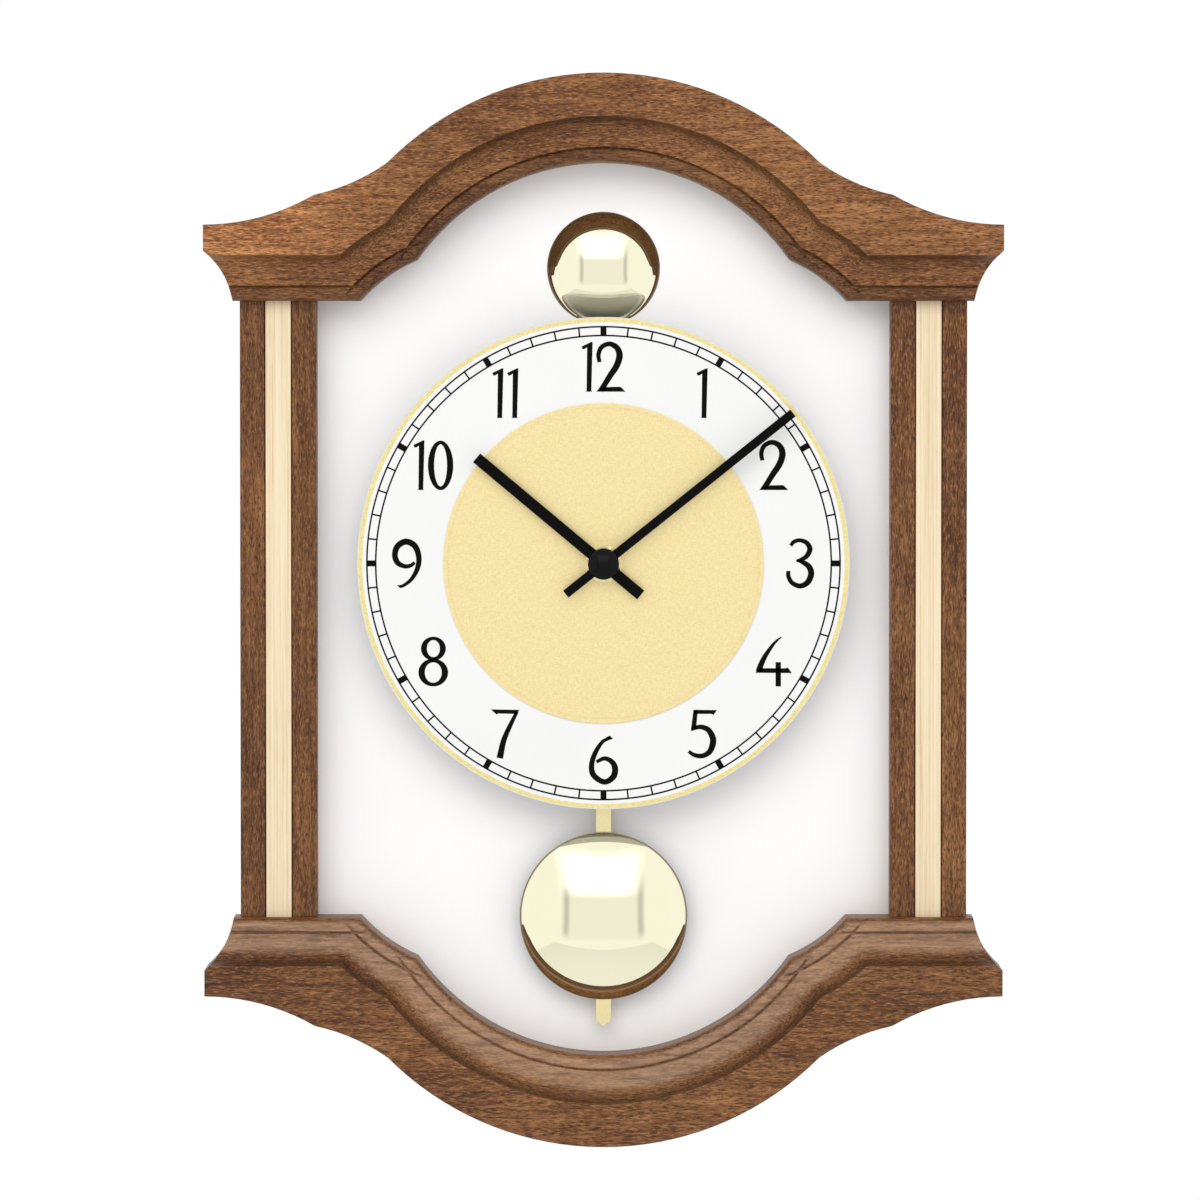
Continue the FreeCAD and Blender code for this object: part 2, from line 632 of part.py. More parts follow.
def movement_front_case():
    wall = MOVE_WALL
    inner_x = MOVE_HALF_WIDTH - wall
    low, high = MOVE_LOW + wall, MOVE_HIGH - wall
    solid = move_block(-MOVE_HALF_WIDTH, MOVE_HALF_WIDTH, MOVE_BACK, PANEL_BACK,
                       MOVE_LOW, MOVE_HIGH)
    ears = [move_block(-34, 34, PANEL_BACK - 2.5, PANEL_BACK, z - 3.5, z + 3.5)
            for z in (-18, 20)]
    bush = rod(BUSH_RADIUS, PLATEAU_FRONT - 1, BUSH_END, 0, ARBOR_Z)
    boss = rod(3.5, PLATEAU_FRONT - 2, HANGER_BACK - 0.3, 0, PIVOT_Z)
    solid = fused(solid, plateau_block(PANEL_BACK - 1, PLATEAU_FRONT, 0), bush, boss, *ears)
    hollows = [
        move_block(-inner_x, inner_x, MOVE_BACK - 1, PANEL_BACK - wall, BAY_TOP + wall, high),
        move_block(-14.5, 14.5, PANEL_BACK - wall - 0.1, PLATEAU_FRONT - wall, -29.5, 27.5),
        move_block(-inner_x, inner_x, MOVE_BACK - 1, BAY_FRONT, low, BAY_TOP),
        rod(BUSH_BORE, 20, BUSH_END + 1, 0, ARBOR_Z),
        rod(PIN_RADIUS, PLATEAU_FRONT - 2.5, 40, 0, PIVOT_Z),
    ]
    for hollow in hollows + movement_screws():
        solid = solid.cut(hollow)
    return add_posts(solid)


def add_posts(case):
    """Posts for the gear bridge, the motion wheel and the setting shaft."""
    posts = [axis_rod(1.5, BRIDGE_FRONT, PLATEAU_FRONT - 1, axis) for axis in BRIDGE_POSTS]
    posts.append(axis_rod(1.4, 20.4, PLATEAU_FRONT - 1, MOTION_AXIS))
    posts.append(axis_rod(MOTION_POST, 16.2, PLATEAU_FRONT - 1, MOTION_AXIS))
    bearing = axis_rod(2.2, 18.2, PLATEAU_FRONT - 1, SETTING_AXIS)
    posts.append(bearing.cut(axis_rod(SETTING_SHAFT + 0.05, 18, SETTING_TIP + 0.2, SETTING_AXIS)))
    return fused(case, *posts)


def axis_rod(radius, d0, d1, axis):
    return rod(radius, d0, d1, axis[0], ARBOR_Z + axis[1])


def gear_bridge():
    plate_solid = move_block(-17.5, 13.8, BRIDGE_BACK, BRIDGE_FRONT, -16.5, 22.5)
    for axis in (CENTER_AXIS, THIRD_AXIS, STEP_AXIS, ROTOR_AXIS):
        plate_solid = plate_solid.cut(axis_rod(PIVOT_RADIUS + 0.05, 0, 30, axis))
    return plate_solid.cut(axis_rod(SETTING_SHAFT + 0.05, 0, 30, SETTING_AXIS))


def rear_cover():
    inner_x = MOVE_HALF_WIDTH - MOVE_WALL
    cover = move_block(-inner_x, inner_x, MOVE_BACK, COVER_FRONT,
                       BAY_TOP + MOVE_WALL, MOVE_HIGH - MOVE_WALL)
    for axis in (CENTER_AXIS, THIRD_AXIS, STEP_AXIS, ROTOR_AXIS):
        cover = cover.cut(axis_rod(PIVOT_RADIUS + 0.05, PIVOT_TAIL - 0.1, 30, axis))
    return cover.cut(axis_rod(SETTING_SHAFT + 0.05, 0, 30, SETTING_AXIS))


def motor_stator():
    """A soft iron plate round the rotor, with two legs that reach the coil's core."""
    back, front = 9.4, 10.4
    rx, rz = ROTOR_AXIS
    hub = move_block(rx - 5, rx + 4.8, back, front, rz - 5.4, rz + 5.4)
    riser = move_block(rx - 5, rx - 1, back, front, -9.5, 17.5)
    legs = [move_block(-23.5, rx - 1, back, front, low, low + 3.5) for low in (-9.5, 14.0)]
    return fused(hub, riser, *legs).cut(axis_rod(ROTOR_RADIUS + 0.5, 0, 30, ROTOR_AXIS))


def coil_rod(radius, low, high):
    """An upright cylinder on the motor coil's axis."""
    return Part.makeCylinder(radius, high - low, at(COIL_X, 11.0, ARBOR_Z + low), Vector(0, 0, 1))


def make_motor():
    core = move_block(COIL_X - 1.2, COIL_X + 1.2, 10.4, 11.6, -9.5, 17.5)
    flanges = [coil_rod(3.8, low, low + 0.8) for low in (-5.3, 12.5)]
    bobbin = fused(coil_rod(2.0, -5.3, 13.3), *flanges).cut(core)
    winding = coil_rod(3.4, -4.5, 12.5).cut(coil_rod(2.0, -6, 14))
    save("motor_core", core)
    save("motor_bobbin", bobbin)
    save("motor_winding", winding)
    save("motor_stator", motor_stator())


def make_electronics():
    board = move_block(14.8, 26.6, 16.5, 17.5, -17.0, 26.0)
    save("circuit_board", board)
    save("control_chip", move_block(18.0, 24.0, 15.2, 16.5, 0.0, 5.0))
    crystal = Part.makeCylinder(1.0, 6.0, at(21.0, 15.5, ARBOR_Z - 12.0), Vector(0, 0, 1))
    save("quartz_crystal", crystal)
    save("drive_coil", tube(6.8, 2.0, 22.0, 25.8, 0, MAGNET_Z))
    battery_z = ARBOR_Z - BATTERY_DROP
    contact = block(25.65, 26.05, 6.5, 18.5, battery_z - 5, battery_z + 5)
    terminal = block(25.65, 27.5, 6.5, 7.0, battery_z - 5, battery_z + 5)
    save("battery_contact_positive", fused(contact, terminal))
    spring = [(-27.5, -6.0), (-27.1, -6.0), (-25.2, -0.5), (-25.2, 0.5), (-27.1, 6.0),
              (-27.5, 6.0), (-25.7, 0.0)]
    leaf = polygon([(x, battery_z + z) for x, z in spring], 8.0, 16.5)
    save("battery_contact_negative", leaf)
    can = Part.makeCylinder(BATTERY_RADIUS, 49.5, at(-25.0, BATTERY_DEPTH, battery_z), Vector(1, 0, 0))
    nub = Part.makeCylinder(2.7, 1.0, at(24.5, BATTERY_DEPTH, battery_z), Vector(1, 0, 0))
    save("battery", fused(can, nub))


def make_movement_case():
    save("movement_front_case", movement_front_case())
    save("movement_rear_cover", rear_cover())
    save("gear_bridge", gear_bridge())
    save("movement_screws", Part.makeCompound(movement_screws()))
    make_motor()
    make_electronics()


# --- Movement: the wheels ---------------------------------------------------
CENTER_AXIS = (0.0, 0.0)
THIRD_AXIS = polar(TRAIN_DISTANCE, THIRD_ANGLE)
STEP_AXIS = polar(STEP_DISTANCE, STEP_ANGLE)
ROTOR_AXIS = polar(ROTOR_DISTANCE, STEP_ANGLE, STEP_AXIS)
MOTION_AXIS = polar(MOTION_DISTANCE, MOTION_ANGLE)
SETTING_AXIS = polar(SETTING_DISTANCE, SETTING_ANGLE, MOTION_AXIS)


def gear(teeth, module, d0, d1, axis, towards, gap=False):
    """A wheel or pinion with a tooth, or a gap, on the line at angle towards."""
    pitch = module * teeth / 2
    half = 0.64 * module / pitch
    pinion = teeth < 13
    root = (pitch - 1.2 * module, half * (0.9 if pinion else 1.15))
    tip = (pitch + 0.85 * module, 0.36 * half)
    ring = [(root[0], -root[1]), (pitch, -half), (tip[0], -tip[1]),
            (tip[0], tip[1]), (pitch, half), (root[0], root[1])]
    step = 2 * math.pi / teeth
    start = math.radians(towards) + (step / 2 if gap else 0)
    corners = []
    for k in range(teeth):
        for radius, offset in ring:
            angle = start + k * step + offset
            corners.append((axis[0] + radius * math.cos(angle),
                            ARBOR_Z + axis[1] + radius * math.sin(angle)))
    return polygon(corners, d0, d1)


def time_train():
    """Rotor, intermediate, seconds, third and centre wheels, each in one piece."""
    save("rotor_magnet", axis_rod(ROTOR_RADIUS, 8.2, 11.6, ROTOR_AXIS)
         .cut(axis_rod(PIVOT_RADIUS, 0, 30, ROTOR_AXIS)))
    save("rotor_pinion", fused(
        axis_rod(PIVOT_RADIUS, PIVOT_TAIL, BRIDGE_FRONT, ROTOR_AXIS),
        gear(6, MODULE_ROTOR, 6.1, 7.5, ROTOR_AXIS, STEP_ANGLE + 180, True)))
    save("intermediate_wheel", fused(
        axis_rod(PIVOT_RADIUS, PIVOT_TAIL, BRIDGE_FRONT, STEP_AXIS),
        gear(60, MODULE_ROTOR, 6.4, 7.2, STEP_AXIS, STEP_ANGLE),
        gear(8, MODULE_SECONDS, 7.2, 9.1, STEP_AXIS, STEP_ANGLE + 180, True)))
    save("seconds_wheel", fused(
        axis_rod(PIVOT_RADIUS, PIVOT_TAIL, BRIDGE_FRONT, CENTER_AXIS),
        gear(24, MODULE_SECONDS, 8.0, 9.0, CENTER_AXIS, STEP_ANGLE),
        gear(8, MODULE_TIME, 9.0, 11.4, CENTER_AXIS, THIRD_ANGLE, True)))
    save("third_wheel", fused(
        axis_rod(PIVOT_RADIUS, PIVOT_TAIL, 15.6, THIRD_AXIS),
        gear(60, MODULE_TIME, 10.3, 11.1, THIRD_AXIS, THIRD_ANGLE + 180),
        gear(8, MODULE_CENTER, 13.9, 15.4, THIRD_AXIS, THIRD_ANGLE + 180, True)))
    save("center_drive_wheel", gear(64, MODULE_CENTER, 14.2, 15.2, CENTER_AXIS, THIRD_ANGLE)
         .cut(axis_rod(CLUTCH_RADIUS + 0.05, 0, 30, CENTER_AXIS)))


def motion_work():
    """Cannon arbor, motion wheel, hour wheel and the setting pinion behind them."""
    save("cannon_arbor", fused(
        axis_rod(CLUTCH_RADIUS, BRIDGE_FRONT + 0.1, 16.2, CENTER_AXIS),
        gear(12, MODULE_CANNON, 16.0, 17.9, CENTER_AXIS, MOTION_ANGLE, True),
        axis_rod(MINUTE_TUBE, 17.9, MINUTE_END, CENTER_AXIS)))
    save("motion_wheel", fused(
        gear(36, MODULE_CANNON, 16.4, 17.4, MOTION_AXIS, MOTION_ANGLE + 180),
        gear(10, MODULE_HOUR, 17.4, 19.9, MOTION_AXIS, MOTION_ANGLE + 180, True))
        .cut(axis_rod(MOTION_POST + 0.05, 0, 30, MOTION_AXIS)))
    hour = fused(gear(40, MODULE_HOUR, 18.6, 19.6, CENTER_AXIS, MOTION_ANGLE),
                 axis_rod(HOUR_TUBE, 18.2, HOUR_END, CENTER_AXIS))
    save("hour_wheel", hour.cut(axis_rod(MINUTE_TUBE + 0.05, 0, 60, CENTER_AXIS)))
    motion_tooth = 180 + MOTION_ANGLE
    pitch = 360 / 36
    off = (SETTING_ANGLE - motion_tooth) / pitch
    lead = (off - round(off)) * pitch * 36 / 16
    save("setting_pinion", fused(
        gear(16, MODULE_CANNON, 16.2, 17.6, SETTING_AXIS, SETTING_ANGLE + 180 + lead, True),
        axis_rod(SETTING_SHAFT, 2.0, SETTING_TIP, SETTING_AXIS)))
    knob = axis_rod(4.5, 1.0, 3.6, SETTING_AXIS).cut(axis_rod(SETTING_SHAFT, 2.0, 10, SETTING_AXIS))
    for k in range(18):
        x, z = polar(4.7, 20 * k, SETTING_AXIS)
        knob = knob.cut(axis_rod(0.45, 0, 5, (x, z)))
    save("setting_knob", knob)


def main():
    os.makedirs("parts", exist_ok=True)
    make_crests()
    make_case()
    make_hanger()
    make_upper_dome()
    make_dial()
    make_hands()
    make_pendulum()
    make_movement_case()
    time_train()
    motion_work()


main()
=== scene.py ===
import logging
import math
from dataclasses import dataclass, field
from enum import Enum
from typing import Any, Mapping, Sequence

import bmesh
import bpy
import numpy as np
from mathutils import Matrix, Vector


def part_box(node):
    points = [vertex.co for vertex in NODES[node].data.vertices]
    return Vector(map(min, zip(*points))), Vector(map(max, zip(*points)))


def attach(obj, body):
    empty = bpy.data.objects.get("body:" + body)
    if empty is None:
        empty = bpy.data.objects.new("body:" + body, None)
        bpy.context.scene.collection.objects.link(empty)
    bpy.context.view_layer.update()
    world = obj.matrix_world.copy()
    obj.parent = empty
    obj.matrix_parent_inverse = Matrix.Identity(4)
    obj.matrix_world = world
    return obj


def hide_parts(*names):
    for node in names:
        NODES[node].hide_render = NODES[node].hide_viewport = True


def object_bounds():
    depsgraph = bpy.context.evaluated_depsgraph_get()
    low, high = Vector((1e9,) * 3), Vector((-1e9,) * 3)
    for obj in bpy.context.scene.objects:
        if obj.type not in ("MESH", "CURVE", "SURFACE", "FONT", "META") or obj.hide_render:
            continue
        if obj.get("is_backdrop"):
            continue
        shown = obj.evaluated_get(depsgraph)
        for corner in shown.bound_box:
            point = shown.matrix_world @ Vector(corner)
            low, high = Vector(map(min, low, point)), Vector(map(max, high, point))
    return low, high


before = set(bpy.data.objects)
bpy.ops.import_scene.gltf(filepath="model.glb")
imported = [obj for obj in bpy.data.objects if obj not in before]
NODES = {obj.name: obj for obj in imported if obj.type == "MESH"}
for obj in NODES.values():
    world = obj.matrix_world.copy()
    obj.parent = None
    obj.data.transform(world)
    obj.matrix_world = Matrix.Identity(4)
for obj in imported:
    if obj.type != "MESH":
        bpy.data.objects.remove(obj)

LOG = logging.getLogger("wall_clock")
MM = 0.001
Colour = tuple[float, float, float]


class Grain(Enum):
    """The axis that a piece of wood's fibres run along."""

    ACROSS = 0
    DEEP = 1
    UPRIGHT = 2


# --- Shader graphs -----------------------------------------------------------
class Value:
    """A value socket that does arithmetic, so that shader maths reads as an expression."""

    def __init__(self, graph: "Graph", socket: bpy.types.NodeSocket) -> None:
        """Wraps a socket.

        Args:
            graph: the graph that the socket belongs to.
            socket: the output socket.
        """
        self.graph = graph
        self.socket = socket

    def _maths(self, operation: str, first: Any, second: Any) -> "Value":
        """One Math node that joins two values.

        Args:
            operation: the Math node's operation.
            first: a value or a number.
            second: a value or a number.

        Returns:
            The result.
        """
        return self.graph.node("ShaderNodeMath", {"operation": operation}, {0: first, 1: second})

    def __add__(self, other: Any) -> "Value":
        """The sum."""
        return self._maths("ADD", self, other)

    def __radd__(self, other: Any) -> "Value":
        """The sum, other first."""
        return self._maths("ADD", other, self)

    def __sub__(self, other: Any) -> "Value":
        """The difference."""
        return self._maths("SUBTRACT", self, other)

    def __rsub__(self, other: Any) -> "Value":
        """The difference, other first."""
        return self._maths("SUBTRACT", other, self)

    def __mul__(self, other: Any) -> "Value":
        """The product."""
        return self._maths("MULTIPLY", self, other)

    def __rmul__(self, other: Any) -> "Value":
        """The product, other first."""
        return self._maths("MULTIPLY", other, self)

    def __truediv__(self, other: Any) -> "Value":
        """The quotient."""
        return self._maths("DIVIDE", self, other)

    def __rtruediv__(self, other: Any) -> "Value":
        """The quotient, other first."""
        return self._maths("DIVIDE", other, self)

    def __pow__(self, other: Any) -> "Value":
        """The power."""
        return self._maths("POWER", self, other)

    def size(self) -> "Value":
        """The value without its sign."""
        return self._maths("ABSOLUTE", self, 0.0)

    def step(self, low: float, high: float) -> "Value":
        """A smooth rise from zero at low to one at high.

        Args:
            low: where the rise starts.
            high: where the rise ends.

        Returns:
            The value after the rise.
        """
        return self.graph.node(
            "ShaderNodeMapRange",
            {"interpolation_type": "SMOOTHSTEP"},
            {"Value": self, "From Min": low, "From Max": high},
        )


class Graph:
    """The node tree of one material or of the world."""

    def __init__(self, owner: bpy.types.ID) -> None:
        """Clears the owner's node tree.

        Args:
            owner: a material or a world.
        """
        owner.use_nodes = True
        self.tree = owner.node_tree
        self.tree.nodes.clear()

    def node(
        self,
        kind: str,
        settings: Mapping[str, Any] | None = None,
        inputs: Mapping[Any, Any] | None = None,
        output: int | str = 0,
    ) -> Value:
        """Adds a node.

        Args:
            kind: the node's type.
            settings: its settings, set first; "stops" holds a colour ramp's (place, colour) pairs.
            inputs: values or links of its sockets, by name or number.
            output: which output is wanted.

        Returns:
            The wanted output.
        """
        made = self.tree.nodes.new(kind)
        for name, setting in (settings or {}).items():
            if name == "stops":
                self._set_stops(made.color_ramp, setting)
            else:
                setattr(made, name, setting)
        for name, value in (inputs or {}).items():
            if isinstance(value, Value):
                self.tree.links.new(value.socket, made.inputs[name])
            else:
                made.inputs[name].default_value = self._fitted(value)
        return Value(self, made.outputs[output]) if made.outputs else Value(self, None)

    @staticmethod
    def _set_stops(ramp: bpy.types.ColorRamp, stops: Sequence[tuple[float, Colour]]) -> None:
        """Gives a ramp its stops.

        Args:
            ramp: the ramp.
            stops: places and colours, lowest place first.
        """
        while len(ramp.elements) < len(stops):
            ramp.elements.new(1.0)
        for element, (place, colour) in zip(ramp.elements, stops):
            element.position = place
            element.color = (*colour, 1.0)

    @staticmethod
    def _fitted(value: Any) -> Any:
        """A colour gets its fourth number; anything else stays as it is."""
        is_colour = isinstance(value, tuple) and len(value) == 3 and max(value) <= 1.0 and min(value) >= 0.0
        return (*value, 1.0) if is_colour else value

    def coords(self, scale: Colour = (1.0, 1.0, 1.0), shift: Colour = (0.0, 0.0, 0.0)) -> Value:
        """Object coordinates, less a shift, times a scale.

        Args:
            scale: the factor on each axis.
            shift: the point that becomes the origin, in metres.

        Returns:
            The vector.
        """
        place = self.node("ShaderNodeTexCoord", output="Object")
        moved = self.node("ShaderNodeVectorMath", {"operation": "SUBTRACT"}, {0: place, 1: Vector(shift)})
        return self.node("ShaderNodeVectorMath", {"operation": "MULTIPLY"}, {0: moved, 1: Vector(scale)})

    def noise(self, place: Value, detail: float = 2.0, rough: float = 0.5, bend: float = 0.0) -> Value:
        """Noise of feature size one in the given coordinates."""
        return self.node(
            "ShaderNodeTexNoise",
            {},
            {"Vector": place, "Scale": 1.0, "Detail": detail, "Roughness": rough, "Distortion": bend},
        )

    def ramp(self, factor: Value, stops: Sequence[tuple[float, Colour]]) -> Value:
        """A colour that runs through the stops as the factor rises."""
        return self.node("ShaderNodeValToRGB", {"stops": stops}, {"Fac": factor})

    def mix(self, factor: Any, first: Any, second: Any) -> Value:
        """The first colour where the factor is zero, the second where it is one."""
        return self.node("ShaderNodeMix", {"data_type": "RGBA"}, {0: factor, 6: first, 7: second}, 2)

    def bump(self, height: Value, depth: float, strength: float = 1.0, normal: Value | None = None) -> Value:
        """The normal of a surface raised by height times depth, in metres."""
        inputs = {"Height": height, "Distance": depth, "Strength": strength}
        if normal is not None:
            inputs["Normal"] = normal
        return self.node("ShaderNodeBump", {}, inputs)

    def surface(self, **inputs: Any) -> None:
        """The Principled surface, its sockets named with underscores for spaces.

        Args:
            **inputs: the values or links of its sockets.
        """
        named = {name.replace("_", " "): value for name, value in inputs.items()}
        shader = self.node("ShaderNodeBsdfPrincipled", {}, named)
        self.node("ShaderNodeOutputMaterial", {}, {"Surface": shader})


# --- Finishes ----------------------------------------------------------------
class Finish:
    """A material that is built once and shared by every piece that wears it."""

    name: str

    def paint(self, graph: Graph) -> None:
        """Builds the node tree in the given graph."""
        raise NotImplementedError

    def material(self) -> bpy.types.Material:
        """The material, made the first time that it is asked for."""
        title = self.name + "_finish"
        made = bpy.data.materials.get(title)
        if made is None:
            made = bpy.data.materials.new(title)
            self.paint(Graph(made))
        return made


@dataclass(frozen=True)
class Walnut(Finish):
    """Satin varnished walnut: bands, streaks and short dark pores drawn out along the grain.

    Painted light and shade lie over the wood's own colour: darker in the upper part of the cove as
    painted shade, paler near the cove's foot as a painted sheen, darker on the bead as painted
    shade, and paler at the board's left end as painted light, each by its own factor.
    """

    name: str
    grain: Grain
    shade: float = 1.0
    coat: float = 0.22
    seed: float = 0.0
    pale: float = 0.0
    glaze: float = 0.0
    rubbed: float = 0.0
    bead: float = 0.0
    # Depths from the wall: where the painted cove shade rises, where the painted sheen at the cove's foot lies, and
    # the board's front face.
    glazed: tuple[float, float] = (45.4 * MM, 48.6 * MM)
    foot: tuple[float, float] = (41.5 * MM, 46.2 * MM)
    face: float = 51.9 * MM

    def _stretch(self, along: float, across: float) -> Colour:
        """The scale that makes features long along the grain and short across it."""
        return tuple(along if axis == self.grain.value else across for axis in range(3))

    def _noise(self, graph: Graph, along: float, across: float, detail: float, rough: float, bend: float) -> Value:
        """Noise drawn out along the grain, moved by the seed so that no two boards match."""
        shift = (self.seed, 0.37 * self.seed, 1.7 * self.seed)
        return graph.noise(graph.coords(self._stretch(along, across), shift), detail, rough, bend)

    def _dyed(self, colour: Colour) -> Colour:
        """A colour darkened or lightened by this finish's shade."""
        return tuple(min(1.0, part * self.shade) for part in colour)

    def _stain(self, graph: Graph) -> Value:
        """The painted light and shade, as a factor on the colour: one, plus painted light at the left end, less
        painted shade in the cove's hollow and on the bead's lip.
        """
        x = graph.node("ShaderNodeSeparateXYZ", {}, {0: graph.coords()}, "X")
        depth = self._depth(graph)
        # Painted light: the left end of the board's front is made paler, as if lit more from the left.
        end = (0.0 - x).step(0.052, 0.118)
        # Painted shade: the upper part of the cove, up to the board's face, is made darker.
        hollow = depth.step(*self.glazed) * (1.0 - depth.step(self.face, self.face + 0.05 * MM))
        # Painted shade: everything less than 43.15 mm from the wall, the bead and the board behind it, is made darker.
        lip = 1.0 - depth.step(43.15 * MM, 43.35 * MM)
        return 1.0 + end * depth.step(40.0 * MM, 52.0 * MM) * self.pale - hollow * self.glaze - lip * self.bead

    def _depth(self, graph: Graph) -> Value:
        """The distance from the wall."""
        return 0.0 - graph.node("ShaderNodeSeparateXYZ", {}, {0: graph.coords()}, "Y")

    def _foot(self, graph: Graph) -> Value:
        """One on the flatter parts of the moulding beside the quirk, fading into the cove; the painted sheen lies
        here.
        """
        low, high = self.foot
        depth = self._depth(graph)
        return depth.step(low, low + 1.2 * MM) * (1.0 - depth.step(43.6 * MM, high))

    def paint(self, graph: Graph) -> None:
        """Tone is a weighted sum of three noises; pores are the peaks of a fourth."""
        band = self._noise(graph, 9.0, 46.0, 3.0, 0.55, 0.6)
        streak = self._noise(graph, 70.0, 800.0, 4.0, 0.62, 0.2)
        fibre = self._noise(graph, 300.0, 3000.0, 3.0, 0.6, 0.0)
        fleck = self._noise(graph, 520.0, 2900.0, 1.0, 0.5, 0.1)
        pores = fleck.step(0.55, 0.66)
        glints = (1.0 - fleck).step(0.57, 0.70)
        tone = band * 0.30 + streak * 0.42 + fibre * 0.28
        colour = graph.ramp(tone, [
            (0.36, self._dyed((0.074, 0.023, 0.006))),
            (0.46, self._dyed((0.180, 0.066, 0.020))),
            (0.55, self._dyed((0.300, 0.124, 0.040))),
            (0.66, self._dyed((0.520, 0.245, 0.088))),
        ])
        colour = graph.mix(glints * 0.50, colour, self._dyed((0.560, 0.280, 0.115)))
        colour = graph.mix(pores * 0.78, colour, self._dyed((0.050, 0.018, 0.008)))
        # Painted sheen: near the cove's foot the colour is pulled towards a pale grey-tan, more along the streaks.
        sheen_amount = self._foot(graph) * (streak * 1.7 - 0.1) * self.rubbed
        colour = graph.mix(sheen_amount, colour, (0.560, 0.370, 0.245))
        # The colour is scaled by the painted light and shade.
        painted_light_colour = graph.node("ShaderNodeVectorMath", {"operation": "SCALE"}, {0: colour, "Scale": self._stain(graph)})
        eased = graph.node("ShaderNodeBevel", {"samples": 6}, {"Radius": 0.35 * MM})
        graph.surface(
            Base_Color=painted_light_colour,
            Roughness=0.40 + 0.14 * fibre + 0.12 * pores,
            Specular_IOR_Level=0.16,
            Coat_Weight=self.coat,
            Coat_Roughness=0.26,
            Normal=graph.bump(fibre * 0.35 - pores, 0.07 * MM, 0.5, eased),
        )


@dataclass(frozen=True)
class Maple(Finish):
    """Pale satin maple with faint upright growth lines."""

    name: str = "maple"
    base: Colour = (0.760, 0.610, 0.400)

    def paint(self, graph: Graph) -> None:
        """Lines are a noise stretched along the strip; flecks are a finer one."""
        lines = graph.noise(graph.coords((1500.0, 1500.0, 9.0)), 3.0, 0.7)
        flecks = graph.noise(graph.coords((2600.0, 2600.0, 160.0)), 2.0)
        colour = graph.ramp(lines * 0.8 + flecks * 0.2, [
            (0.34, (0.640, 0.465, 0.260)),
            (0.48, self.base),
            (0.66, (0.830, 0.715, 0.520)),
        ])
        graph.surface(
            Base_Color=colour,
            Roughness=0.38 + 0.14 * flecks,
            Coat_Weight=0.2,
            Coat_Roughness=0.2,
            Normal=graph.bump(flecks, 0.02 * MM, 0.5),
        )


@dataclass(frozen=True)
class Beech(Finish):
    """Raw beech: pink-brown with short darker flecks."""

    name: str = "beech"

    def paint(self, graph: Graph) -> None:
        """Flecks are a noise stretched along the dowel."""
        flecks = graph.noise(graph.coords((1200.0, 1200.0, 120.0)), 3.0, 0.6)
        colour = graph.ramp(flecks, [(0.35, (0.42, 0.27, 0.15)), (0.60, (0.62, 0.44, 0.27))])
        graph.surface(Base_Color=colour, Roughness=0.6 + 0.2 * flecks, Normal=graph.bump(flecks, 0.03 * MM))


@dataclass(frozen=True)
class PanelLacquer(Finish):
    """Pale silver lacquer on the front of the back board, brown hardboard on the rest of it."""

    name: str
    front_y: float

    def paint(self, graph: Graph) -> None:
        """The lacquer covers what lies within 0.1 mm of the front face."""
        place = graph.node("ShaderNodeTexCoord", output="Object")
        depth = graph.node("ShaderNodeSeparateXYZ", {}, {0: place}, "Y")
        behind = (depth - self.front_y).step(0.05 * MM, 0.15 * MM)
        cloud = graph.noise(graph.coords((14.0, 14.0, 14.0)), 3.0, 0.5)
        flake = graph.noise(graph.coords((5200.0, 5200.0, 5200.0)), 1.0)
        lacquer = graph.ramp(cloud * 0.4 + flake * 0.6, [(0.30, (0.875, 0.862, 0.858)), (0.70, (0.930, 0.920, 0.914))])
        chips = graph.noise(graph.coords((900.0, 900.0, 420.0)), 4.0, 0.7)
        board = graph.ramp(chips, [(0.35, (0.115, 0.062, 0.032)), (0.65, (0.300, 0.180, 0.098))])
        graph.surface(
            Base_Color=graph.mix(behind, lacquer, board),
            Metallic=0.10 - 0.10 * behind,
            Roughness=0.40 + 0.08 * flake + 0.35 * behind,
            Normal=graph.bump(flake + chips * behind * 4.0, 0.006 * MM, 0.6),
        )


@dataclass(frozen=True)
class PolishedBrass(Finish):
    """Mirror polished pale brass with faint wiping marks, and a painted dark reflection in a thin band just inside its
    rim.
    """

    name: str
    centre: Colour
    rim: float
    base: Colour = (0.930, 0.905, 0.690)

    def paint(self, graph: Graph) -> None:
        """Roughness rises where a smear and a scratch noise are high; the painted dark reflection at the rim is placed
        by distance from the middle.
        """
        smear = graph.noise(graph.coords((70.0, 70.0, 40.0)), 3.0, 0.6, 0.8)
        scratch = graph.noise(graph.coords((900.0, 900.0, 5200.0)), 2.0, 0.7)
        flat = graph.coords((1.0, 0.0, 1.0), self.centre)
        radius = graph.node("ShaderNodeVectorMath", {"operation": "LENGTH"}, {0: flat}, "Value")
        # Painted dark reflection: a thin dark band just inside the rim, also made rougher.
        painted_rim_reflection = radius.step(self.rim - 0.75 * MM, self.rim - 0.25 * MM)
        colour = graph.mix(smear * 0.5, self.base, (0.920, 0.870, 0.610))
        graph.surface(
            Base_Color=graph.mix(painted_rim_reflection * 0.9, colour, (0.130, 0.085, 0.040)),
            Metallic=1.0,
            Roughness=0.010 + 0.030 * smear.step(0.45, 0.8) + 0.010 * scratch + 0.3 * painted_rim_reflection,
            Normal=graph.bump(scratch, 0.0005 * MM, 0.2),
        )


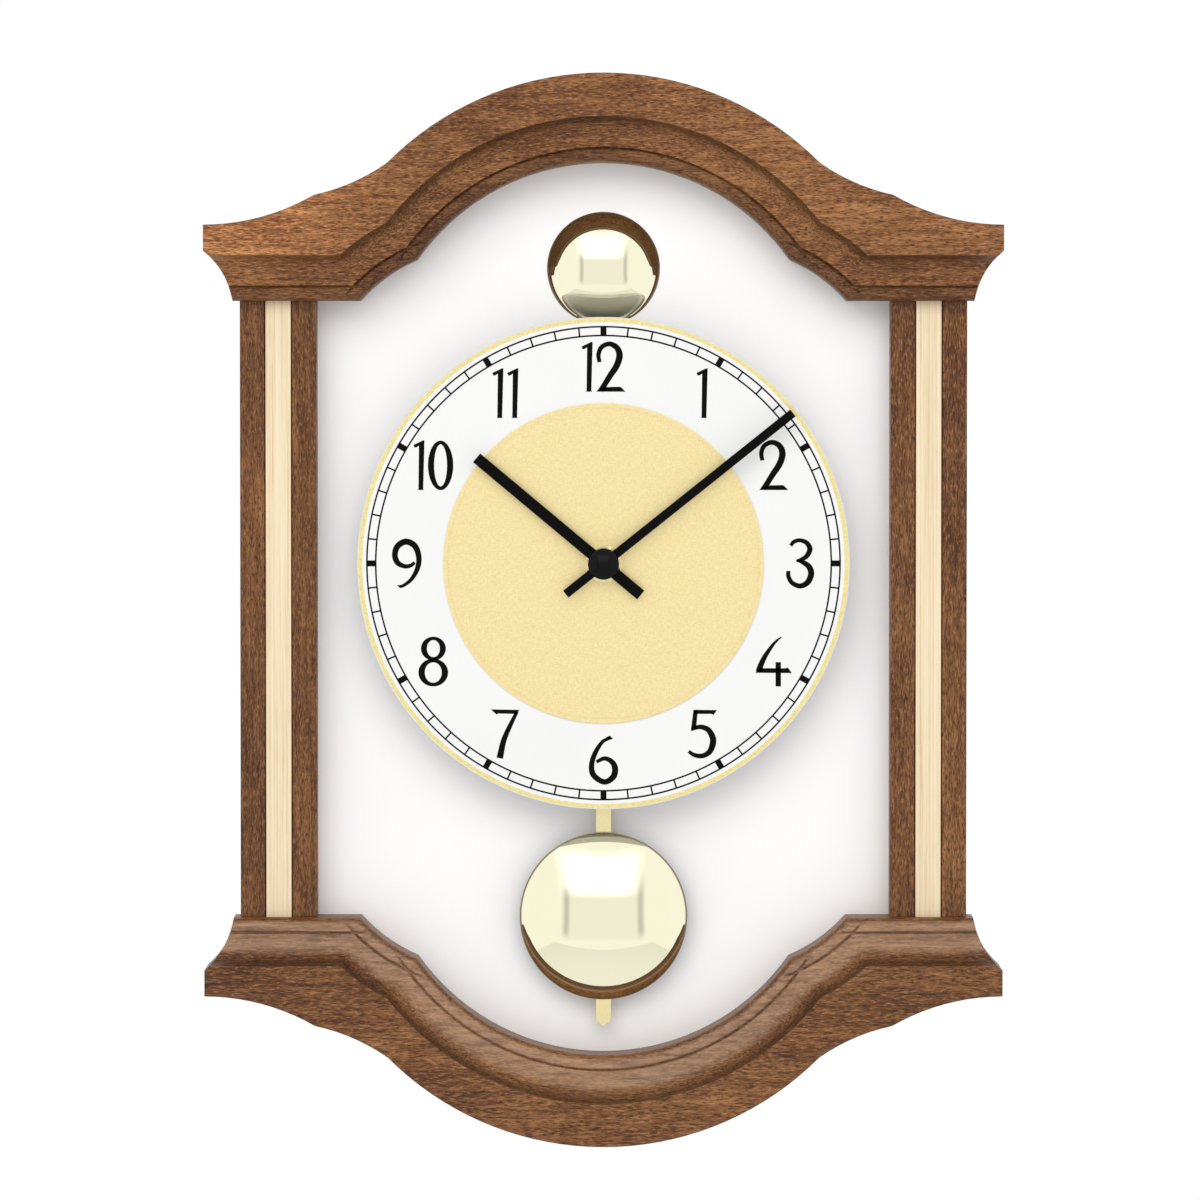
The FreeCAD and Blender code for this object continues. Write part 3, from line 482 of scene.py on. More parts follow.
@dataclass(frozen=True)
class Brass(Finish):
    """Rolled or turned brass, softly bright, grained along Z."""

    name: str
    base: Colour = (0.840, 0.690, 0.340)
    rough: float = 0.24

    def paint(self, graph: Graph) -> None:
        """Fine lines stretched along Z vary the colour, the roughness and the surface."""
        lines = graph.noise(graph.coords((4200.0, 4200.0, 190.0)), 2.0, 0.6)
        stain = graph.noise(graph.coords((160.0, 160.0, 160.0)), 3.0)
        dark = tuple(part * 0.86 for part in self.base)
        graph.surface(
            Base_Color=graph.mix(stain * 0.5 + lines * 0.3, self.base, dark),
            Metallic=1.0,
            Roughness=self.rough + 0.14 * lines,
            Normal=graph.bump(lines, 0.004 * MM, 0.5),
        )


@dataclass(frozen=True)
class SatinGold(Finish):
    """Pale gold foil with a fine crossed grain, as on the dial's middle and its printed ring."""

    name: str = "satin_gold"
    base: Colour = (0.900, 0.750, 0.390)

    def paint(self, graph: Graph) -> None:
        """The grain is the product of two noises, one drawn out across and one upright."""
        weft = graph.noise(graph.coords((700.0, 2600.0, 3600.0)), 2.0, 0.6)
        warp = graph.noise(graph.coords((3600.0, 2600.0, 700.0)), 2.0, 0.6)
        grain = weft * warp * 2.0
        colour = graph.ramp(grain, [
            (0.25, tuple(part * 0.90 for part in self.base)),
            (0.50, self.base),
            (0.80, tuple(min(1.0, part * 1.10) for part in self.base)),
        ])
        graph.surface(
            Base_Color=colour,
            Metallic=0.90,
            Roughness=0.34 + 0.16 * grain,
            Normal=graph.bump(grain, 0.005 * MM, 0.5),
        )


@dataclass(frozen=True)
class BackedGlass(Finish):
    """Clear glass with a white coat behind it that stops just short of the edge."""

    name: str
    centre: Colour
    coat_radius: float

    def paint(self, graph: Graph) -> None:
        """The distance from the middle picks white coat, or the glass's own grey-green edge."""
        flat = graph.coords((1.0, 0.0, 1.0), self.centre)
        radius = graph.node("ShaderNodeVectorMath", {"operation": "LENGTH"}, {0: flat}, "Value")
        edge = radius.step(self.coat_radius, self.coat_radius + 0.1 * MM)
        wave = graph.noise(graph.coords((26.0, 26.0, 26.0)), 2.0)
        white = graph.mix(wave, (0.775, 0.780, 0.772), (0.820, 0.824, 0.814))
        rim = graph.mix(wave, (0.560, 0.600, 0.570), (0.680, 0.700, 0.670))
        graph.surface(
            Base_Color=graph.mix(edge, white, rim),
            Roughness=0.22 - 0.12 * edge,
            Coat_Weight=1.0,
            Coat_Roughness=0.03,
            Normal=graph.bump(wave, 0.02 * MM, 0.25),
        )


@dataclass(frozen=True)
class Ink(Finish):
    """Screen printed black ink with a slightly uneven surface."""

    name: str = "black_ink"

    def paint(self, graph: Graph) -> None:
        """A fine noise varies the blackness and the sheen."""
        speck = graph.noise(graph.coords((3800.0, 3800.0, 3800.0)), 2.0)
        graph.surface(
            Base_Color=graph.mix(speck, (0.002, 0.002, 0.002), (0.006, 0.005, 0.005)),
            Roughness=0.42 + 0.2 * speck,
            Specular_IOR_Level=0.04,
            Normal=graph.bump(speck, 0.004 * MM, 0.6),
        )


@dataclass(frozen=True)
class BlackGloss(Finish):
    """Gloss black lacquer over pressed metal, with a faint orange-peel."""

    name: str = "black_gloss"
    rough: float = 0.22
    shine: float = 0.05

    def paint(self, graph: Graph) -> None:
        """A soft noise waves the surface; a fine one varies the shine."""
        peel = graph.noise(graph.coords((900.0, 900.0, 900.0)), 2.0)
        dust = graph.noise(graph.coords((6000.0, 6000.0, 6000.0)), 1.0)
        graph.surface(
            Base_Color=graph.mix(dust, (0.0015, 0.0015, 0.0015), (0.005, 0.004, 0.004)),
            Roughness=self.rough + 0.12 * dust,
            Specular_IOR_Level=self.shine,
            Normal=graph.bump(peel, 0.006 * MM, 0.4),
        )


@dataclass(frozen=True)
class Moulded(Finish):
    """Injection moulded plastic with a spark-eroded grain."""

    name: str
    base: Colour
    rough: float = 0.45
    grain: float = 1400.0

    def paint(self, graph: Graph) -> None:
        """A cell noise gives the grain and a broad noise the cloudiness of the melt."""
        scale = (self.grain, self.grain, self.grain)
        pits = graph.node("ShaderNodeTexVoronoi", {}, {"Vector": graph.coords(scale), "Scale": 1.0})
        cloud = graph.noise(graph.coords((90.0, 90.0, 90.0)), 3.0)
        light = tuple(min(1.0, part * 1.18 + 0.006) for part in self.base)
        graph.surface(
            Base_Color=graph.mix(cloud * 0.7 + pits * 0.3, self.base, light),
            Roughness=self.rough + 0.16 * pits,
            Normal=graph.bump(pits, 0.02 * MM, 0.5),
        )


@dataclass(frozen=True)
class PlatedSteel(Finish):
    """Zinc plated or rolled steel with a short drawn grain."""

    name: str
    base: Colour = (0.600, 0.605, 0.620)
    tint: Colour = (0.520, 0.530, 0.500)
    rough: float = 0.30

    def paint(self, graph: Graph) -> None:
        """Stretched noise draws the grain and a broad one the plating's tint."""
        drawn = graph.noise(graph.coords((260.0, 3000.0, 3000.0)), 2.0, 0.6)
        bloom = graph.noise(graph.coords((210.0, 210.0, 210.0)), 4.0, 0.6)
        graph.surface(
            Base_Color=graph.mix(bloom, self.base, self.tint),
            Metallic=1.0,
            Roughness=self.rough + 0.18 * drawn + 0.08 * bloom,
            Normal=graph.bump(drawn, 0.006 * MM, 0.5),
        )


@dataclass(frozen=True)
class WoundCopper(Finish):
    """Enamelled copper wire laid in close turns round an axis."""

    name: str
    axis: Grain
    pitch: float = 0.12 * MM

    def paint(self, graph: Graph) -> None:
        """A sine of the place along the axis, one wave to a turn, raises each wire; its colour also darkens into the
        valleys between turns as painted shade.
        """
        place = graph.coords()
        along = graph.node("ShaderNodeSeparateXYZ", {}, {0: place}, self.axis.value)
        turn = graph.node("ShaderNodeMath", {"operation": "SINE"}, {0: along * (2 * math.pi / self.pitch)})
        wire = turn * 0.5 + 0.5
        graph.surface(
            Base_Color=graph.mix(wire, (0.200, 0.060, 0.020), (0.720, 0.300, 0.120)),
            Metallic=0.85,
            Roughness=0.30 + 0.10 * wire,
            Normal=graph.bump(wire, 0.03 * MM, 0.7),
        )


@dataclass(frozen=True)
class SolderMask(Finish):
    """Green solder mask over copper tracks that run up the board."""

    name: str = "circuit_green"

    def paint(self, graph: Graph) -> None:
        """A coarse cell pattern drawn out along the board gives the tracks and pads."""
        cells = graph.node(
            "ShaderNodeTexVoronoi",
            {"feature": "DISTANCE_TO_EDGE"},
            {"Vector": graph.coords((420.0, 420.0, 150.0)), "Scale": 1.0},
        )
        track = 1.0 - cells.step(0.05, 0.10)
        weave = graph.noise(graph.coords((2400.0, 2400.0, 2400.0)), 2.0)
        board = graph.mix(weave, (0.020, 0.120, 0.050), (0.040, 0.190, 0.085))
        graph.surface(
            Base_Color=graph.mix(track, board, (0.110, 0.330, 0.120)),
            Roughness=0.26 + 0.16 * weave,
            Coat_Weight=0.5,
            Normal=graph.bump(track, 0.03 * MM, 0.6),
        )


@dataclass(frozen=True)
class BatterySleeve(Finish):
    """A plain dry cell: printed sleeve with a copper band at one end and bare steel ends."""

    name: str
    low_x: float
    high_x: float

    def paint(self, graph: Graph) -> None:
        """The place along the cell, from zero to one, picks bare metal, copper band or sleeve."""
        place = graph.coords()
        x = graph.node("ShaderNodeSeparateXYZ", {}, {0: place}, "X")
        along = (x - self.low_x) / (self.high_x - self.low_x)
        band = along.step(0.700, 0.704)
        bare = along.step(0.962, 0.966) + (1.0 - along.step(0.014, 0.018))
        scuff = graph.noise(graph.coords((140.0, 900.0, 900.0)), 4.0, 0.6)
        sleeve = graph.mix(scuff, (0.018, 0.050, 0.130), (0.035, 0.085, 0.190))
        copper = graph.mix(scuff, (0.560, 0.290, 0.130), (0.700, 0.390, 0.190))
        printed = graph.mix(band, sleeve, copper)
        graph.surface(
            Base_Color=graph.mix(bare, printed, (0.620, 0.620, 0.640)),
            Metallic=0.75 * bare + 0.35 * band * (1.0 - bare),
            Roughness=0.24 + 0.12 * scuff,
            Coat_Weight=0.5 * (1.0 - bare),
            Normal=graph.bump(scuff, 0.01 * MM, 0.3),
        )


@dataclass(frozen=True)
class Ferrite(Finish):
    """Pressed and sintered magnet: dull dark grey with a granular skin."""

    name: str = "ferrite"

    def paint(self, graph: Graph) -> None:
        """A fine noise pits the skin."""
        grit = graph.noise(graph.coords((2600.0, 2600.0, 2600.0)), 4.0, 0.7)
        graph.surface(
            Base_Color=graph.mix(grit, (0.030, 0.031, 0.034), (0.090, 0.088, 0.090)),
            Metallic=0.4,
            Roughness=0.55 + 0.2 * grit,
            Normal=graph.bump(grit, 0.03 * MM, 0.7),
        )


@dataclass(frozen=True)
class PaleFloor(Finish):
    """Matt off-white studio floor, lit from within like a light table."""

    name: str = "pale_floor"

    def paint(self, graph: Graph) -> None:
        """A broad noise keeps the floor from being one flat tone."""
        cloud = graph.noise(graph.coords((1.3, 1.3, 1.3)), 3.0)
        graph.surface(
            Base_Color=graph.mix(cloud, (0.80, 0.80, 0.79), (0.84, 0.84, 0.83)),
            Roughness=0.9,
            Emission_Color=(1.0, 1.0, 1.0),
            Emission_Strength=0.42,
        )


def dress(piece: bpy.types.Object, finish: Finish) -> None:
    """Puts a finish on a new piece or a CAD node.

    Args:
        piece: the object.
        finish: what it wears.
    """
    if not piece.material_slots:
        piece.data.materials.append(finish.material())
    for slot in piece.material_slots:
        slot.material = finish.material()


def dress_nodes(finish: Finish, *names: str) -> None:
    """Puts one finish on several CAD nodes.

    Args:
        finish: what they wear.
        *names: the nodes.
    """
    for name in names:
        dress(NODES[name], finish)
        LOG.info("%s wears %s", name, finish.name)


# --- Mesh building -----------------------------------------------------------
def centre_of(node: str) -> tuple[float, float, float]:
    """The middle of a CAD node's box, in metres."""
    low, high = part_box(node)
    return tuple((a + b) / 2 for a, b in zip(low, high))


def mesh_piece(
    name: str, points: np.ndarray, faces: Sequence[Sequence[int]], smooth: bool = False
) -> bpy.types.Object:
    """A new object at the origin from points in metres.

    Args:
        name: the piece's name.
        points: an array of one (x, y, z) row for each vertex.
        faces: vertex numbers of each face.
        smooth: whether faces that meet at under 30 degrees are shaded as one surface.

    Returns:
        The object, its normals facing outwards.
    """
    mesh = bpy.data.meshes.new(name)
    mesh.from_pydata(points.tolist(), [], faces)
    shell = bmesh.new()
    shell.from_mesh(mesh)
    bmesh.ops.recalc_face_normals(shell, faces=shell.faces)
    shell.to_mesh(mesh)
    shell.free()
    if smooth:
        mesh.polygons.foreach_set("use_smooth", np.ones(len(mesh.polygons), bool))
        mesh.set_sharp_from_angle(angle=math.radians(30))
    piece = bpy.data.objects.new(name, mesh)
    bpy.context.scene.collection.objects.link(piece)
    return piece


def grid_faces(rows: int, columns: int, wrap_rows: bool, wrap_columns: bool) -> np.ndarray:
    """Quads between neighbours of a grid whose vertex (i, j) has the number i * columns + j.

    Args:
        rows: how many rows.
        columns: how many columns.
        wrap_rows: whether the last row meets the first.
        wrap_columns: whether the last column meets the first.

    Returns:
        One row of four vertex numbers for each quad.
    """
    i = np.arange(rows if wrap_rows else rows - 1)[:, None]
    j = np.arange(columns if wrap_columns else columns - 1)[None, :]
    below, right = (i + 1) % rows, (j + 1) % columns
    corners = [i * columns + j, i * columns + right, below * columns + right, below * columns + j]
    return np.stack([np.broadcast_to(c, (i.size, j.size)) for c in corners], -1).reshape(-1, 4)


def turned_points(radii: np.ndarray, depths: np.ndarray, centre: Sequence[float], count: int) -> np.ndarray:
    """Points of a surface of revolution about an axis along Y.

    Point (i, j) is (x + r_i cos a_j, -depth_i, z + r_i sin a_j), with a_j = 2 pi j / count.

    Args:
        radii: the radius at each station of the profile.
        depths: the distance from the wall at each station.
        centre: a point on the axis.
        count: how many points go round.

    Returns:
        The points, station by station.
    """
    turn = np.arange(count) * (2 * math.pi / count)
    x = centre[0] + radii[:, None] * np.cos(turn)
    z = centre[2] + radii[:, None] * np.sin(turn)
    y = np.broadcast_to(-depths[:, None], x.shape)
    return np.stack([x, y, z], -1).reshape(-1, 3)


def turned_shell(name: str, radii: np.ndarray, depths: np.ndarray, centre: Sequence[float], count: int) -> bpy.types.Object:
    """A closed shell turned about an axis along Y, with a single vertex where it meets the axis at each end.

    Args:
        name: the piece's name.
        radii: the radius at each station of the profile; the first and the last are zero.
        depths: the distance from the wall at each station.
        centre: a point on the axis.
        count: how many points go round.

    Returns:
        The object.
    """
    rings = turned_points(radii[1:-1], depths[1:-1], centre, count)
    poles = np.array([[centre[0], -depths[0], centre[2]], [centre[0], -depths[-1], centre[2]]])
    faces = grid_faces(len(radii) - 2, count, False, True).tolist()
    start, total = len(rings) - count, len(rings)
    faces += [[j, (j + 1) % count, total] for j in range(count)]
    faces += [[start + j, start + (j + 1) % count, total + 1] for j in range(count)]
    return mesh_piece(name, np.concatenate([rings, poles]), faces, True)


@dataclass(frozen=True)
class Solids:
    """Points and faces of several closed solids that make one piece."""

    points: list[np.ndarray] = field(default_factory=list)
    faces: list[list[int]] = field(default_factory=list)

    def add(self, points: np.ndarray, faces: Sequence[Sequence[int]]) -> None:
        """Takes one more solid.

        Args:
            points: its points.
            faces: its faces, numbered from its own first point.
        """
        start = sum(len(part) for part in self.points)
        self.points.append(points)
        self.faces.extend([number + start for number in face] for face in faces)

    def ring(self, low: float, high: float, back: float, front: float, centre: Sequence[float], count: int) -> None:
        """A flat ring: a rectangle turned about an axis along Y."""
        radii = np.array([low, high, high, low])
        depths = np.array([back, back, front, front])
        self.add(turned_points(radii, depths, centre, count), grid_faces(4, count, True, True).tolist())

    def ribbon(self, path: np.ndarray, back: float, front: float) -> None:
        """A flat stroke: a rectangle as wide as the pen, carried along a path.

        Its edges are the path plus and minus half the width along the path's left-hand normal.

        Args:
            path: rows of (x, z, width) in metres.
            back: depth of its back.
            front: depth of its front.
        """
        way = np.gradient(path[:, :2], axis=0)
        way /= np.linalg.norm(way, axis=1, keepdims=True)
        left = np.stack([-way[:, 1], way[:, 0]], 1) * path[:, 2:3] / 2
        sides = [path[:, :2] + left, path[:, :2] - left, path[:, :2] - left, path[:, :2] + left]
        depths = (back, back, front, front)
        rows = [np.column_stack([side[:, 0], np.full(len(side), -d), side[:, 1]]) for side, d in zip(sides, depths)]
        count = len(path)
        faces = grid_faces(4, count, True, False).tolist()
        ends = [[k * count + end for k in range(4)] for end in (0, count - 1)]
        self.add(np.concatenate(rows), faces + ends)

    def loop(self, path: np.ndarray, back: float, front: float) -> None:
        """A closed flat stroke: the same rectangle carried round a path that meets itself."""
        way = np.roll(path[:, :2], -1, 0) - np.roll(path[:, :2], 1, 0)
        way /= np.linalg.norm(way, axis=1, keepdims=True)
        left = np.stack([-way[:, 1], way[:, 0]], 1) * path[:, 2:3] / 2
        sides = [path[:, :2] + left, path[:, :2] - left, path[:, :2] - left, path[:, :2] + left]
        depths = (back, back, front, front)
        rows = [np.column_stack([side[:, 0], np.full(len(side), -d), side[:, 1]]) for side, d in zip(sides, depths)]
        self.add(np.concatenate(rows), grid_faces(4, len(path), True, True).tolist())

    def plate(self, outline: np.ndarray, back: float, front: float) -> None:
        """A flat plate with straight sides.

        Args:
            outline: rows of (x, z) in metres, in order round the plate.
            back: depth of its back.
            front: depth of its front.
        """
        count = len(outline)
        rows = [np.column_stack([outline[:, 0], np.full(count, -d), outline[:, 1]]) for d in (back, front)]
        faces = grid_faces(2, count, False, True).tolist()
        self.add(np.concatenate(rows), faces + [list(range(count)), list(range(count, 2 * count))])

    def piece(self, name: str, smooth: bool = False) -> bpy.types.Object:
        """The solids as one object."""
        return mesh_piece(name, np.concatenate(self.points), self.faces, smooth)


def curve_through(stations: np.ndarray, steps: int = 9) -> np.ndarray:
    """A smooth run of points through a few stations.

    Each span is the Catmull-Rom cubic of its two ends and their neighbours:
    half of ((2 p1) + (p2 - p0) t + (2 p0 - 5 p1 + 4 p2 - p3) t^2 + (3 p1 - p0 - 3 p2 + p3) t^3).

    Args:
        stations: one row for each station.
        steps: points on each span.

    Returns:
        The rows along the whole curve.
    """
    first = 2 * stations[:1] - stations[1:2]
    last = 2 * stations[-1:] - stations[-2:-1]
    around = np.concatenate([first, stations, last])
    p0, p1, p2, p3 = (around[k : len(around) - 3 + k, None, :] for k in range(4))
    t = (np.arange(steps) / steps)[None, :, None]
    spans = (2 * p1 + (p2 - p0) * t + (2 * p0 - 5 * p1 + 4 * p2 - p3) * t ** 2
             + (3 * p1 - p0 - 3 * p2 + p3) * t ** 3) / 2
    return np.concatenate([spans.reshape(-1, stations.shape[1]), stations[-1:]])


def softened(node: str, name: str, bevel: float = 0.0) -> bpy.types.Object:
    """A CAD node's own shape, its triangles joined so that curved faces shade smoothly.

    Args:
        node: the CAD node that it stands for.
        name: the piece's name.
        bevel: width of an eased edge, in metres.

    Returns:
        The piece.
    """
    mesh = NODES[node].data.copy()
    shell = bmesh.new()
    shell.from_mesh(mesh)
    bmesh.ops.remove_doubles(shell, verts=shell.verts, dist=0.5e-6)
    if bevel:
        bmesh.ops.dissolve_limit(
            shell, angle_limit=math.radians(0.4), verts=shell.verts, edges=shell.edges, delimit={"NORMAL"}
        )
    shell.to_mesh(mesh)
    shell.free()
    mesh.name = name
    mesh.materials.clear()
    mesh.polygons.foreach_set("use_smooth", np.ones(len(mesh.polygons), bool))
    mesh.set_sharp_from_angle(angle=math.radians(28))
    piece = bpy.data.objects.new(name, mesh)
    bpy.context.scene.collection.objects.link(piece)
    if bevel:
        ease = piece.modifiers.new("eased_edges", "BEVEL")
        ease.width = bevel
        ease.segments = 2
        ease.limit_method = "ANGLE"
        ease.angle_limit = math.radians(35)
        ease.harden_normals = False
    level = piece.modifiers.new("flat_faces_stay_flat", "WEIGHTED_NORMAL")
    level.keep_sharp = True
    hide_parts(node)
    return piece


def settle(piece: bpy.types.Object, finish: Finish, body: str) -> None:
    """Dresses a new piece and hands it to the frame.

    Args:
        piece: the piece.
        finish: what it wears.
        body: the CAD body that it rides on.
    """
    dress(piece, finish)
    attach(piece, body)
    LOG.info("%s: %d vertices, rides on %s, wears %s", piece.name, len(piece.data.vertices), body, finish.name)


# --- The clock's sub-assemblies ----------------------------------------------
@dataclass
class Case:
    """Crests, columns, inlay strips, rails and back panel."""

    body: str = "case"
    # The crests' finishes paint shade in the cove, a sheen at the bottom cove's foot, shade on the top bead and light
    # on the top crest's left end.
    top: Walnut = Walnut("walnut_top_crest", Grain.ACROSS, 0.90, pale=0.62, glaze=0.46, bead=0.38)
    bottom: Walnut = Walnut("walnut_bottom_crest", Grain.ACROSS, 0.72, seed=0.31, glaze=0.45, rubbed=0.45)
    left: Walnut = Walnut("walnut_left_column", Grain.UPRIGHT, 0.65, seed=0.53)
    right: Walnut = Walnut("walnut_right_column", Grain.UPRIGHT, 0.68, seed=0.87)
    rails: Walnut = Walnut("walnut_rails", Grain.ACROSS, 0.85, 0.0, seed=0.19)

    def build(self) -> None:
        """Softens the crest boards' mouldings and dresses every piece."""
        settle(softened("top_crest", "top_crest_moulded"), self.top, self.body)
        settle(softened("bottom_crest", "bottom_crest_moulded"), self.bottom, self.body)
        dress_nodes(self.left, "left_column")
        dress_nodes(self.right, "right_column")
        dress_nodes(Maple(), "left_inlay_strip", "right_inlay_strip")
        dress_nodes(self.rails, "top_rail", "bottom_rail")
        dress_nodes(Beech(), "column_dowels")
        dress_nodes(PanelLacquer("panel_lacquer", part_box("back_panel")[0][1]), "back_panel")
        dress_nodes(PlatedSteel("zinc_plate"), "case_screws", "hanger_plate", "hanger_screws")


@dataclass
class Dome:
    """A pressed brass cap: part of a ball that meets its rim at a slope."""

    node: str
    body: str
    slope: float
    sheet: float = 0.6 * MM
    lip: float = 0.12 * MM

    def _profile(self) -> tuple[np.ndarray, np.ndarray]:
        """Radii and depths from the outer pole over the rim to the inner pole.

        With ball radius b = rim radius / sin(slope), the point at angle t is b sin t from the axis
        and b (1 - cos t) behind the pole; the rim between outer and inner ball is rounded.
        """
        low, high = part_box(self.node)
        rim, back, front = (high[0] - low[0]) / 2, -high[1], -low[1]
        ball = rim / math.sin(math.radians(self.slope))
        ease = self.lip / ball
        outer = np.linspace(0.0, math.radians(self.slope) - ease, 60)
        radii = ball * np.sin(outer)
        depths = front - ball * (1 - np.cos(outer))
        inner_ball = ball - self.sheet
        centre = front - ball
        end = math.acos((back - centre) / inner_ball)
        inner = np.linspace(end - ease, 0.0, 40)
        corners_r = np.array([rim - 0.01 * MM, rim - self.lip, inner_ball * math.sin(end) + self.lip])
        corners_d = np.array([back + self.lip * 0.5, back, back])
        radii = np.concatenate([radii, corners_r, inner_ball * np.sin(inner)])
        depths = np.concatenate([depths, corners_d, centre + inner_ball * np.cos(inner)])
        return radii, depths

    def build(self) -> None:
        """Turns the profile into a closed shell with one vertex at each pole."""
        radii, depths = self._profile()
        piece = turned_shell(self.node + "_polished", radii, depths, centre_of(self.node), 192)
        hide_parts(self.node)
        brass = PolishedBrass(self.node + "_brass", centre_of(self.node), float(radii.max()))
        settle(piece, brass, self.body)


# Each pen stroke below is a few stations of (place across, height, pen width), and each blade
# is a few corners of (place across, height), all in units of the numerals' height.
STROKES = {
    "0": [],
    "1": [],
    "2": [[(.061, .593, .072), (.041, .746, .080), (.105, .895, .084), (.261, .958, .088), (.407, .885, .104),
           (.464, .729, .118), (.407, .525, .115), (.271, .315, .108), (.153, .125, .100), (.085, .020, .100)]],
    "3": [[(.092, .858, .066), (.160, .936, .072), (.281, .965, .075), (.415, .912, .086), (.478, .790, .096),
           (.417, .650, .090), (.300, .577, .066), (.205, .552, .040)],
          [(.205, .560, .040), (.315, .535, .080), (.455, .440, .105), (.505, .295, .112), (.434, .120, .105),
           (.281, .046, .092), (.125, .108, .084), (.050, .235, .080), (.046, .350, .074)]],
    "4": [[(.522, .995, .022), (.440, .930, .040), (.350, .835, .058), (.203, .620, .085), (.119, .451, .100),
           (.066, .300, .112)]],
    "5": [[(.088, .572, .050), (.170, .612, .070), (.280, .630, .085), (.420, .575, .100), (.505, .440, .112),
           (.520, .320, .115), (.470, .160, .105), (.370, .070, .092), (.250, .044, .085), (.120, .075, .075),
           (.030, .142, .060)]],
    "6": [[(.450, .945, .062), (.370, .915, .060), (.261, .850, .068), (.125, .637, .088), (.054, .400, .098),
           (.092, .190, .105), (.302, .052, .100), (.481, .146, .110), (.525, .315, .112), (.464, .455, .095),
           (.312, .525, .078), (.149, .455, .060)]],
    "7": [[(.530, .940, .062), (.390, .660, .082), (.260, .356, .100), (.180, .000, .118)]],
    "8": [],
    "9": [[(.450, .520, .056), (.363, .456, .070), (.240, .444, .080), (.100, .520, .100), (.051, .678, .105),
           (.108, .850, .110), (.278, .938, .112), (.455, .845, .110), (.532, .620, .100), (.500, .390, .090),
           (.380, .180, .070), (.227, .058, .058), (.150, .036, .050)]],
}
BLADES = {
    "1": [[(.093, 0), (.208, 0), (.198, .03), (.224, 1), (.188, .995), (0, .905), (.025, .848), (.072, .862),
           (.112, .890), (.102, .03)]],
    "2": [[(0, 0), (.583, 0), (.498, .088), (.460, .100), (.150, .092), (.045, .060)]],
    "4": [[(0, .275), (.736, .268), (.655, .380), (.600, .366), (.120, .368), (.035, .330)],
          [(.407, 0), (.515, 0), (.515, .490), (.407, .490)]],
    "5": [[(.125, .976), (.214, .976), (.180, .590), (.072, .548)],
          [(.125, .976), (.600, .970), (.530, .872), (.490, .892), (.150, .892)]],
    "6": [[(.330, .940), (.412, .984), (.490, .920), (.400, .905)]],
    "7": [[(0, .984), (.583, .974), (.510, .893), (.145, .900), (.115, .880)]],
    "9": [[(.085, .062), (.160, 0), (.215, .030), (.180, .066)]],
}
# Each bowl is (middle across, middle height, half width, half height, pen at its sides, pen at its ends).
BOWLS = {
    "0": [(.247, .495, .192, .460, .112, .068)],
    "8": [(.293, .762, .190, .205, .108, .062), (.290, .280, .234, .242, .116, .066)],
}
WIDTHS = {"0": .495, "1": .215, "2": .583, "3": .563, "4": .736, "5": .583, "6": .583, "7": .583, "8": .583, "9": .583}


@dataclass
class Numeral:
    """One hour figure, drawn with a broad pen."""

    text: str
    height: float
    gap: float = 0.085
    weight: float = 1.12

    def _scale(self) -> np.ndarray:
        """The figure's height for both places, and its height times the pen's weight for the width."""
        return np.array([1.0, 1.0, self.weight]) * self.height

    def _width(self) -> float:
        """Width of the whole figure, in units of its height."""
        return sum(WIDTHS[digit] for digit in self.text) + self.gap * (len(self.text) - 1)

    def draw(self, solids: Solids, middle: tuple[float, float], back: float, front: float) -> None:
        """Adds the figure to a set of solids.

        Args:
            solids: where its strokes go.
            middle: the middle of its box, (x, z) in metres.
            back: depth of the print's back.
            front: depth of its front.
        """
        left = -self._width() / 2
        for digit in self.text:
            corner = np.array([middle[0] + left * self.height, middle[1] - self.height / 2, 0.0])
            for stations in STROKES.get(digit, []):
                solids.ribbon(corner + curve_through(np.array(stations)) * self._scale(), back, front)
            for outline in BLADES.get(digit, []):
                solids.plate(corner[:2] + np.array(outline) * self.height, back, front)
            for bowl in BOWLS.get(digit, []):
                solids.loop(corner + self._bowl(*bowl) * self._scale(), back, front)
            left += WIDTHS[digit] + self.gap

    @staticmethod
    def _bowl(x: float, z: float, wide: float, high: float, side: float, end: float) -> np.ndarray:
        """An oval whose pen is broad at its sides: width is end + (side - end) cos^2 of the angle."""
        turn = np.arange(72) * (2 * math.pi / 72)
        pen = end + (side - end) * np.cos(turn) ** 2
        return np.stack([x + wide * np.cos(turn), z + high * np.sin(turn), pen], 1)


